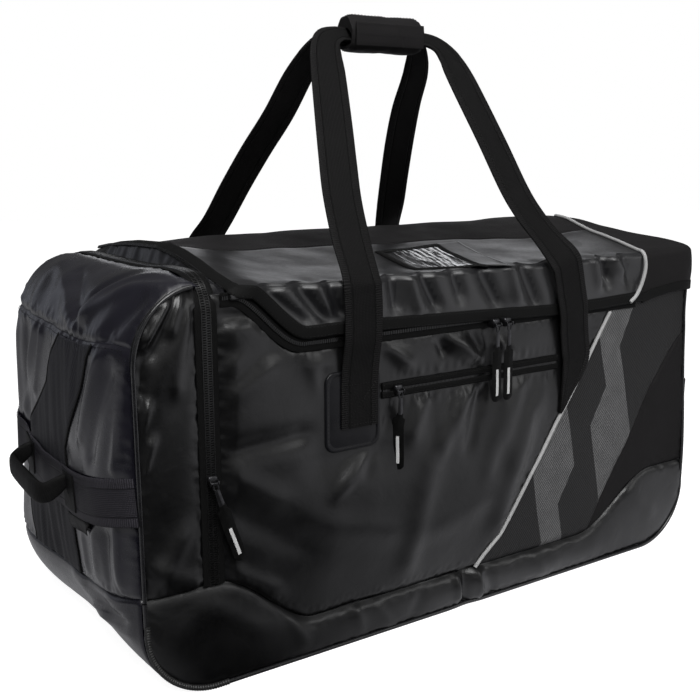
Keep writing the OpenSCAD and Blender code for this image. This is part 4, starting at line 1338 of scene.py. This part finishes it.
def patch_ring(x0, inset, y):
    """A patch's outline with round corners, drawn in by an inset."""
    r = 12
    corners = [np.array(c) * (PATCH - r) + polar(r, np.radians(linspace(a, a + 90, 6)))
               for c, a in (((1, 1), 0), ((-1, 1), 90), ((-1, -1), 180), ((1, -1), 270))]
    q = closed(concatenate(corners)) * maximum((PATCH - inset) / PATCH, 0.02)
    return xyz(x0 + q[:, 0], y, 284 + q[:, 1])


def patch(name, x0, side):
    pts = stack([patch_ring(x0, inset, side * (HALF + lift)) for inset, lift in (
        (0, -0.2), (0.2, 1.3), (1.2, 1.9), (3.6, 1.9), (4.4, 1.2), (6, 1.5), (20, 1.5), (34, 1.5))])
    surface(name + "_cloth", pts, [STRIP_COAT], (0, side, 0), "bag", "coated", name, thick=0,
            uv=(pts[..., 0], pts[..., 2]))
    bag_thread.stitch(patch_ring(x0, 4, side * 201.7), (0, side, 0))


def box_stitch(x0, side):
    """A sewn box with a cross in it."""
    turns = ((-1, 0), (1, 0), (1, 1), (-1, 1), (-1, 0), (1, 1), (1, 0), (-1, 1))
    corners = [np.array((x0 + 20 * a, side * 204.7, 268 + 46 * b)) for a, b in turns]
    for a, b in zip(corners, corners[1:]):
        bag_thread.stitch(linspace(a, b, 8), (0, side, 0), 3.6, 0.4)


LEAN = math.radians(36.8)  # how far the loops lean to the middle
# Loops: x, way up from the bend, half the width
FRONT_LOOP = [
    (147, 3, 25), (133, 40, 25), (123, 75, 25), (118, 112, 25), (114, 180, 25), (110, 250, 25),
    (110, 290, 24), (107, 316, 20), (98, 335, 15), (82, 344, 12), (60, 345, 10), (10, 342, 10),
    (-40, 345, 10), (-58, 345, 12), (-76, 335, 18), (-87, 312, 22), (-93, 286, 24),
    (-112, 214, 25), (-130, 155, 25), (-142, 106, 25), (-150, 50, 25), (-156, 3, 25)]
REAR_LOOP = [
    (170, 3, 25), (152, 60, 25), (136, 112, 25), (118, 180, 25), (104, 240, 24), (96, 286, 22),
    (87, 314, 18), (76, 335, 13), (60, 344, 10), (10, 342, 10), (-40, 345, 10), (-58, 342, 12),
    (-74, 326, 18), (-87, 286, 23), (-99, 226, 24.5), (-113, 167, 25), (-127, 107, 25),
    (-140, 50, 25), (-152, 3, 25)]
# Feet, from their low ends: x, height, distance out, half the width
FRONT_RIGHT = [
    (155.5, 232, 206.5, 1.6), (158.5, 242, 207.5, 4.6), (165, 262, 207.5, 11), (174, 286, 207, 20),
    (179, 305, 206.5, 25), (177, 322, 206, 25), (172, 345, 207.5, 25), (166, 368, 211.4, 25),
    (158, 395, 212.5, 25), (153, 415, 212.5, 25)]
FOOT_RISE = [(264, 203), (285, 203.2), (318, 203.2), (345, 207), (368, 211.8), (395, 212.5),
             (415, 212.5)]
FRONT_LEFT, REAR_LEFT, REAR_RIGHT = (
    [(x, z, y, HALF_WEB) for x, (z, y) in zip(across, rise)] for across, rise in (
        ((-153, -153, -153, -153, -153.5, -154, -155),
         FOOT_RISE[:3] + [(345, 206.5), (368, 211.6)] + FOOT_RISE[5:]),
        ((-155, -155, -155, -155, -154.5, -154, -153), FOOT_RISE),
        ((165, 165, 165, 165, 166, 170, 172), FOOT_RISE)))


def handle(tag, loop, right, left, side, bend):
    """One length of webbing: up the face, over its bend, through the wrap and down again."""
    sine, cosine = math.sin(LEAN), math.cos(LEAN)
    lean_up, face_up = np.array((0, side * cosine, sine)), np.array((0, side, 0.0))
    rows = []
    for x, h, half in loop:
        foot = max(0.0, 1 - h / 26)
        twist = 5 * math.sin(h / 38 + x / 60) * min(1, h / 60) * (half > 20)
        rows.append((x, side * (BEND_OUT - h * sine + twist * 0.35), TOP + h * cosine + twist * 0.2,
                     *(lean_up * (1 - foot) + face_up * foot), half))
    near, far = ([(x, side * y, z, *face_up, half) for x, z, y, half in foot]
                 for foot in (right, left))
    line = smooth_path(near + rows + far[::-1], 5)
    path, up, half = line[:, :3], line[:, 3:6], line[:, 6]
    name, body = tag + "_handle_webbing", tag + "_handle"
    sweep(name, path, up, flat_bar(49, 2.4, 11), STRAP, body, "webbing", tag + "_loop",
          tag + "_left_strap", tag + "_right_strap", blend=bend,
          scale=stack((half / HALF_WEB, np.where(half > 20, 1, 1.5)), -1))
    heap = Heap()
    _, w, o = frames(path, up)
    for off in (-15, 16.5):
        row = path + w * (off * half / HALF_WEB)[:, None]
        for face in (1, -1):
            heap.stitch(row + o * (1.35 * face), up * face, 5, 0.4)
    heap.build(name + "_thread", THREAD, body, "webbing", bend)


def straps():
    patch("front_left_patch", -161, -1)
    patch("rear_left_patch", -155, 1)
    patch("rear_right_patch", 165, 1)
    handle("front", FRONT_LOOP, FRONT_RIGHT, FRONT_LEFT, -1, FRONT_BEND)
    handle("rear", REAR_LOOP, REAR_RIGHT, REAR_LEFT, 1, REAR_BEND)
    box_stitch(-153, -1)
    box_stitch(-155, 1)
    box_stitch(165, 1)


WRAP_X, WRAP_Z, WRAP_LONG, WRAP_SIDES = 11, 709.2, 111, 72
WRAP_LEFT = WRAP_X - WRAP_LONG / 2


def grip():
    """The padded wrap: a soft sleeve, flatter at its top, with its seams drawn in."""
    m = WRAP_SIDES
    u = concatenate(([0, 0.006, 0.016, 0.03], linspace(0.05, 0.95, 44),
                        [0.97, 0.984, 0.994, 1]))
    a = circle(m)
    c, d, r = cos(a), sin(a), squared(a, 3.2)
    rows = []
    for s in u:
        x = WRAP_LEFT + WRAP_LONG * s
        puff = (1 + 0.02 * wide(x / 40, a * 2) + 0.014 * mid(x / 16, a * 4)
                - 0.03 * bell((x - 15) / 7))
        size = (1 - 0.13 * bell(min(s, 1 - s) * WRAP_LONG / 5)) * r * puff
        rows.append(xyz(x, 21.6 * size * c * (1 - 0.34 * ease(r * d)), WRAP_Z + 22.6 * size * d))
    pts = stack(rows)
    mouth = ((0.0, 0.78), (0.1, 0.72), (0.9, 0.72), (1.0, 0.78))
    hollow = [xyz(WRAP_LEFT + WRAP_LONG * s, pts[20, :, 1] * k,
                  WRAP_Z - 5 + (pts[20, :, 2] - WRAP_Z) * 0.62 * k) for s, k in mouth]
    points = concatenate([*rows, *hollow])
    base, last = len(u) * m, (len(u) - 1) * m

    def ring_faces(p, q, flip):
        faces = [[p + k, p + (k + 1) % m, q + (k + 1) % m, q + k] for k in range(m)]
        return [f[::-1] for f in faces] if flip else faces

    faces = (quads(len(u), m, True).tolist()
             + ring_faces(0, base, True) + ring_faces(base, base + m, True)
             + ring_faces(last, base + 3 * m, False) + ring_faces(base + 3 * m, base + 2 * m, False)
             + [list(range(base + m, base + 2 * m)), list(range(base + 2 * m, base + 3 * m))[::-1]])
    along = concatenate((u, [s for s, _ in mouth])) * WRAP_LONG
    uv = stack(np.meshgrid(along, a * 22, indexing="ij"), -1).reshape(-1, 2)
    ob = mesh_piece("grip_wrap_cloth", points, faces, [NYLON], uv)
    turn_out(ob, 75)
    put(ob, "front_handle", "wrap", "grip_wrap")
    heap = Heap()
    for k in (22, 50):
        heap.stitch(pts[4:-4, k] + (0, -0.3, 0.3), (0, -0.7, 0.7), 5, 0.4)
    for k in (4, -5):
        ring = closed(pts[k])
        out = ring - (ring[0, 0], 0, WRAP_Z)
        heap.stitch(ring + unit(out) * 0.4, out, 5, 0.4)
    heap.build("grip_wrap_thread", THREAD, "front_handle", "wrap")


def grip_flap():
    u, v = grid(90, 18)
    x, z = WRAP_LEFT + 3 + (WRAP_LONG - 6) * u, 721.6 - 29 * v
    belly = 1.2 * sin(pi * v) + 0.8 * wide(x / 30, z / 30) * sin(pi * u)
    over = 1.3 * ease((30 - 0.3 * (z - 700) - x) / 2.4)
    pts = xyz(x, -22.2 - belly - over - 0.6 * v, z)
    surface("grip_flap_cloth", pts, [NYLON], (0, -1, 0), "wrap_flap", "wrap", "grip_flap",
            thick=2.0)
    heap = Heap()
    for row in (2, 9, -3):
        heap.stitch(pts[2:-2, row] + (0, -0.3, 0), (0, -1, 0), 4, 0.35)
    heap.build("grip_flap_thread", THREAD, "wrap_flap", "wrap")


def grab(tag, side):
    """A grab handle: webbing folded into a soft tube in its grip, flat at its feet."""
    half = [(437, 68, 3, 7), (447.5, 68, 4.4, 8), (458, 67.5, 3.6, 10), (467.6, 64, 4.4, 11.5),
            (473, 55, 5.8, 12.5), (474.6, 40, 7, 12.5), (474.8, 20, 7.4, 12.5)]
    rows = half + [(475, 0, 7.4, 12.5)] + [(x, -y, t, h) for x, y, t, h in half[::-1]]
    line = smooth_path([(side * x, y, GRAB_Z, t * 0.72, h) for x, y, t, h in rows], 4)
    path = line[:, :3].copy()
    path[:, 2] -= 12 * ease((np.abs(path[:, 0]) - 445) / 28)
    a = circle(20)
    name, body = tag + "_grab_webbing", tag + "_grab"
    sweep(name, path, (0, 0, 1), polar(squared(a, 2.6), a), WEB, body, "webbing", tag + "_grab_handle",
          scale=line[:, 3:])
    heap = Heap()
    for k in (-1, 1):
        heap.stitch(path[12:-12] + (side * 3.6, 0, k * 6.0), (side, 0, 0), 5, 0.45)
    heap.build(name + "_thread", THREAD, body, "webbing")


straps()
grip()
grip_flap()
grab("end", -1)
grab("right", 1)


# Piping and guards

def pipes():
    z = concatenate(([48], linspace(56, 356, 60)))
    x = trim_x(z)
    path = xyz(x, -200.4 - maximum(front_out(x, z), mesh_out(x, z)), z)
    path[:, 1] = np.convolve(np.pad(path[:, 1], 4, "edge"), np.ones(9) / 9, "valid")
    sweep("reflective_cord", smooth_path(path, 3), (0, -1, 0), round_bar(2.4), SILVER, "bag",
          "reflective", "reflective_piping")
    a = linspace(0, pi / 2, 20)
    cord, left, turn = round_bar(2.4), -412.4, 67.4
    for side, tag in SIDES:
        up, y, r = (0, side, 0), side * 202.2, CORNER - 2.6
        sole, upright = linspace(-322, HEEL - 5, 90), linspace(90, 384, 44)
        path = concatenate((
            xyz(sole, y, 2.6 + 1.4 * bell((sole - 8) / 16)),
            xyz(HEEL + r * sin(a), y, CORNER - r * cos(a)),
            xyz(411.8 - lean_in(upright), y - side * 2 * ease((upright - 310) / 40), upright)))
        name = tag + "_edge_piping"
        sweep(name + "_cord", smooth_path(path, 5), up, cord, PIPE, "bag", "piping", name)
        sweep(name + "_left_cord", xyz(left, y, linspace(92, 119, 8)), up, cord, PIPE, "bag",
              "piping")
        t = linspace(0.02, pi / 2 - 0.06, 26)
        high = turn + float(shoulder_rise(HALF * side))
        path = concatenate((
            xyz(left, y, linspace(120.6, 356, 50)),
            xyz(SHOULDER - LONG - turn * cos(t), y, SHOULDER_Z + high * sin(t))))
        sweep("flap_piping_" + tag, smooth_path(path, 4), up, cord, PIPE, "end_flap", "piping",
              *(["flap_piping"] if side < 0 else []), blend=FLAP_BEND)
        y, r = y + side * 1.2, CORNER - 3.5
        path = smooth_path(concatenate((
            xyz(-411.5, y, linspace(94, 86, 4)),
            xyz(-HEEL - r * cos(a), y, CORNER - r * sin(a)),
            xyz(linspace(-330, -322, 4), y, 3.5))), 1.0)
        rib = 1 + 0.13 * np.sign(sin(np.arange(len(path)) * pi / 1.5 + 0.3))
        sweep("wear_guard_" + tag, path, up, round_bar(3.0), RUBBER, "bag", "wear_rubber",
              *(["corner_wear_guards"] if side < 0 else []), scale=stack((rib, rib), -1))


pipes()


# Sliders and pulls

def slider(name, at, depth):
    """A zip slider: a wedge body with a bridge over its pin, worked out about its own middle."""
    rows = []
    for z, half in ((5.6, 4.6), (4, 5.2), (0, 5.0), (-3, 4.2), (-5.2, 3.2)):
        top = 0.8 * (abs(z) > 4) - depth
        side = [(half, 0.6, z), (half, top + 1.0, z), (half - 1.0, top, z)]
        rows += [(-x, y, z) for x, y, z in side] + side[::-1]
    wedge = quads(5, 6, True).tolist() + [list(range(6)), list(range(24, 30))[::-1]]
    parts = [(rows, wedge)]
    pin = -depth - PIN_OUT
    outline = ((1 - depth, 2.2), (pin - 1.2, 1.6), (pin - 2.0, -1), (pin - 1.0, -3.2),
               (1 - depth, -3.6))
    faces = [[2 * k, 2 * k + 1, (2 * k + 3) % 10, (2 * k + 2) % 10] for k in range(5)]
    for x in (-4.4, 4.4):
        parts.append(([(x + off, *q) for q in outline for off in (-0.6, 0.6)],
                      faces + [[0, 2, 4, 6, 8], [9, 7, 5, 3, 1]]))
    y, z = round_bar(1.1).T
    parts.append((concatenate([xyz(x, pin + y, z - PIN_LOW) for x in (-4.6, 4.6)]),
                  [[k, (k + 1) % 10, 10 + (k + 1) % 10, 10 + k] for k in range(10)]
                  + [list(range(10))[::-1], list(range(10, 20))]))
    points, faces = [], []
    for p, f in parts:
        faces += [[k + len(points) for k in face] for face in f]
        points += [tuple(q) for q in p]
    ob = mesh_piece(name + "_body", np.array(points) + at, faces, [STEEL])
    turn_out(ob, 50)
    soften = ob.modifiers.new("edges", "BEVEL")
    soften.width, soften.segments, soften.limit_method = 0.35 * MM, 2, "ANGLE"
    put(ob, name, "zip_metal", name)


def pull(name, at, depth, turn=0.0, twist=0.0):
    """A pull: a metal ring and tongue, then a soft tab with a pale bar along it."""
    c, s = math.cos(math.radians(turn)), math.sin(math.radians(turn))

    def place(p):
        x, y, z = np.transpose(p)
        return xyz(at[0] + x * c - z * s, at[1] - depth - PIN_OUT + y,
                   at[2] - PIN_LOW + x * s + z * c)

    def hang(z, out):
        """Points down the tab, which turns about its length and then stands clear of the cloth."""
        t = math.radians(twist) * ease((z - 20) / 24)
        return place(xyz(0.5 * sin(z / 11) + out * sin(t),
                         0.5 * sin(z / 17 + 1) - 6 * sin(t) - out * cos(t), -z)), \
            xyz(sin(t), -cos(t), 0)

    t = linspace(0, 2 * pi, 25)
    ring = closed(xyz(2.6 * sin(t), 0, -4.4 + 4.6 * cos(t))[:-1])
    sweep(name + "_ring", place(ring), (0, -1, 0), round_bar(0.85, 8), STEEL, name, "zip_metal")
    z = np.array((-7.5, -9, -20, -26, -27.5))
    sweep(name + "_tongue", place(xyz(0, 0, z)), (0, -1, 0), flat_bar(2, 2, 4), STEEL, name,
          "zip_metal", scale=[(2.2, 0.8), (3.0, 0.9), (3.2, 0.9), (3.4, 0.9), (2.6, 0.8)])
    z = linspace(22, 94.5, 34)
    half = 7.2 * minimum(1, sqrt(clip((z - 21.2) / 6, 0.05, 1))
                            * sqrt(clip((95.6 - z) / 5, 0.05, 1)))
    half = np.where(z < 32, maximum(half * 0.6, 2.6), half)
    sweep(name + "_tab", *hang(z, 0.0), flat_bar(2, 2, 6), PULL, name, "pull", name,
          scale=stack((half, np.full_like(z, 1.15)), -1))
    sweep(name + "_bar", *hang(linspace(54, 87, 14), 1.25), flat_bar(3.8, 0.3, 3), MARK, name,
          "pull")


for tag, at, depth, hung in (
        ("pocket_%s", (-102, SLIDER_Y, POCKET_Z), 4, {"twist": -52}),
        ("skate_%s", (SKATE_X, SLIDER_Y, 236), 4, {"turn": 17}),
        ("lid_%s_left", (36, SLIDER_Y, 363), 10, {}),
        ("lid_%s_right", (54, SLIDER_Y, 363), 10, {})):
    slider(tag % "slider", at, depth)
    pull(tag % "pull", at, depth, **hung)

bag_thread.build("bag_thread", THREAD, "bag", "webbing")
lid_thread.build("lid_thread", THREAD, "lid", "webbing")
flap_thread.build("flap_thread", THREAD, "end_flap", "webbing", END_BEND)


# Studio

def area_light(name, at, towards, size, power, tint=(1, 1, 1)):
    data = bpy.data.lights.new(name, "AREA")
    data.shape, data.size, data.size_y = "RECTANGLE", *size
    data.energy, data.color = power, tint
    ob = bpy.data.objects.new(name, data)
    ob.location = at
    ahead = mathutils.Vector(towards) - mathutils.Vector(at)
    ob.rotation_euler = ahead.to_track_quat("-Z", "Y").to_euler()
    bpy.context.scene.collection.objects.link(ob)


def lights():
    world = bpy.data.worlds.new("studio")
    bpy.context.scene.world = world
    world.use_nodes = True
    n = Nodes(world.node_tree, "Generated")
    level = n.join("ADD", n.span(n.axis("Z"), 0.07, 0.16, -0.1, 0.8),
                   n.span(n.axis("Y"), 0.0, 0.17, -0.2, -0.8))
    seen = n.add("LightPath", out="Is Camera Ray")
    n.feed(world.node_tree.nodes["Background"], {
        "Color": colour(1), "Strength": n.join("MAXIMUM", seen, level)})
    area_light("overhead", (-0.3, -0.4, 2.6), (0, 0, 0.3), (1.6, 1.6), 26)
    area_light("key", (-0.9, -2.2, 2.4), (0, -0.1, 0.25), (1.5, 1.5), 70)
    area_light("back_left", (-1.5, 2.6, 0.8), (-0.4, 0, 0.3), (1.7, 1.2), 2, (0.82, 0.86, 1.0))
    area_light("back_right", (1.9, 2.9, 0.95), (0.1, 0, 0.4), (2.6, 1.1), 8.8, (0.95, 0.96, 1.0))
    area_light("front_right", (1.9, -2.6, 1.5), (0, -0.2, 0.25), (1.3, 1.5), 12)


def floor_look():
    """White to the camera; its mirror image in the cloth is a set of soft pale areas."""
    n = Look("studio_floor", "Object")

    def product(*ramps):
        """Ramps over the floor: axis, where it starts and ends, and its values there."""
        parts = [n.span(n.axis(axis), low, high, *span) for axis, span, (low, high) in ramps]
        while len(parts) > 1:
            parts[:2] = [n.join("MULTIPLY", *parts[:2])]
        return parts[0]

    ahead = n.join("ADD", product(("X", (-0.06, 0.36), (0, 0.78))),
                   product(("X", (0.36, 1.3), (0, 0.06))))
    foot = product(("Y", (-0.5, -0.24), (0, 0.9)), ("X", (-0.28, 0.02), (0, 1)),
                   ("X", (0.2, 0.5), (1, 0.3)))
    behind = product(("Y", (-0.1, 0.35), (0, 0.66)), ("X", (-0.7, -0.2), (1, 0.3)),
                     ("Y", (0.6, 1.5), (1, 0.55)))
    beside = product(("X", (-0.34, -0.44), (0, 0.5)), ("Y", (-0.55, -0.2), (0, 1)),
                     ("Y", (0.5, 1.0), (1, 0)))
    level = n.join("MAXIMUM", n.join("MAXIMUM", ahead, foot), n.join("MAXIMUM", behind, beside))
    shine = n.add("Emission", {"Color": colour((0.96, 0.96, 1)), "Strength": level})
    white = n.add("AddShader", {0: n.add("Emission", {"Color": colour(1), "Strength": 0.93}),
                                1: n.add("BsdfDiffuse", {"Color": colour(0.5)})})
    result = n.add("BsdfDiffuse", {"Color": colour(0.3)})
    for ray, shader in (("Is Glossy Ray", shine), ("Is Camera Ray", white)):
        result = n.add("MixShader", {0: n.add("LightPath", out=ray), 1: result, 2: shader})
    n.feed(n.tree.nodes["Material Output"], {"Surface": result})
    return n.mat


def studio():
    lights()
    corners = [(-6, -6, 0), (6, -6, 0), (6, 6, 0), (-6, 6, 0)]
    mesh = bpy.data.meshes.new("studio_floor")
    mesh.from_pydata(corners, [], [(0, 1, 2, 3)])
    mesh.materials.append(floor_look())
    floor = bpy.data.objects.new("studio_floor", mesh)
    bpy.context.scene.collection.objects.link(floor)
    bpy.context.scene.view_settings.view_transform = "Standard"


studio()
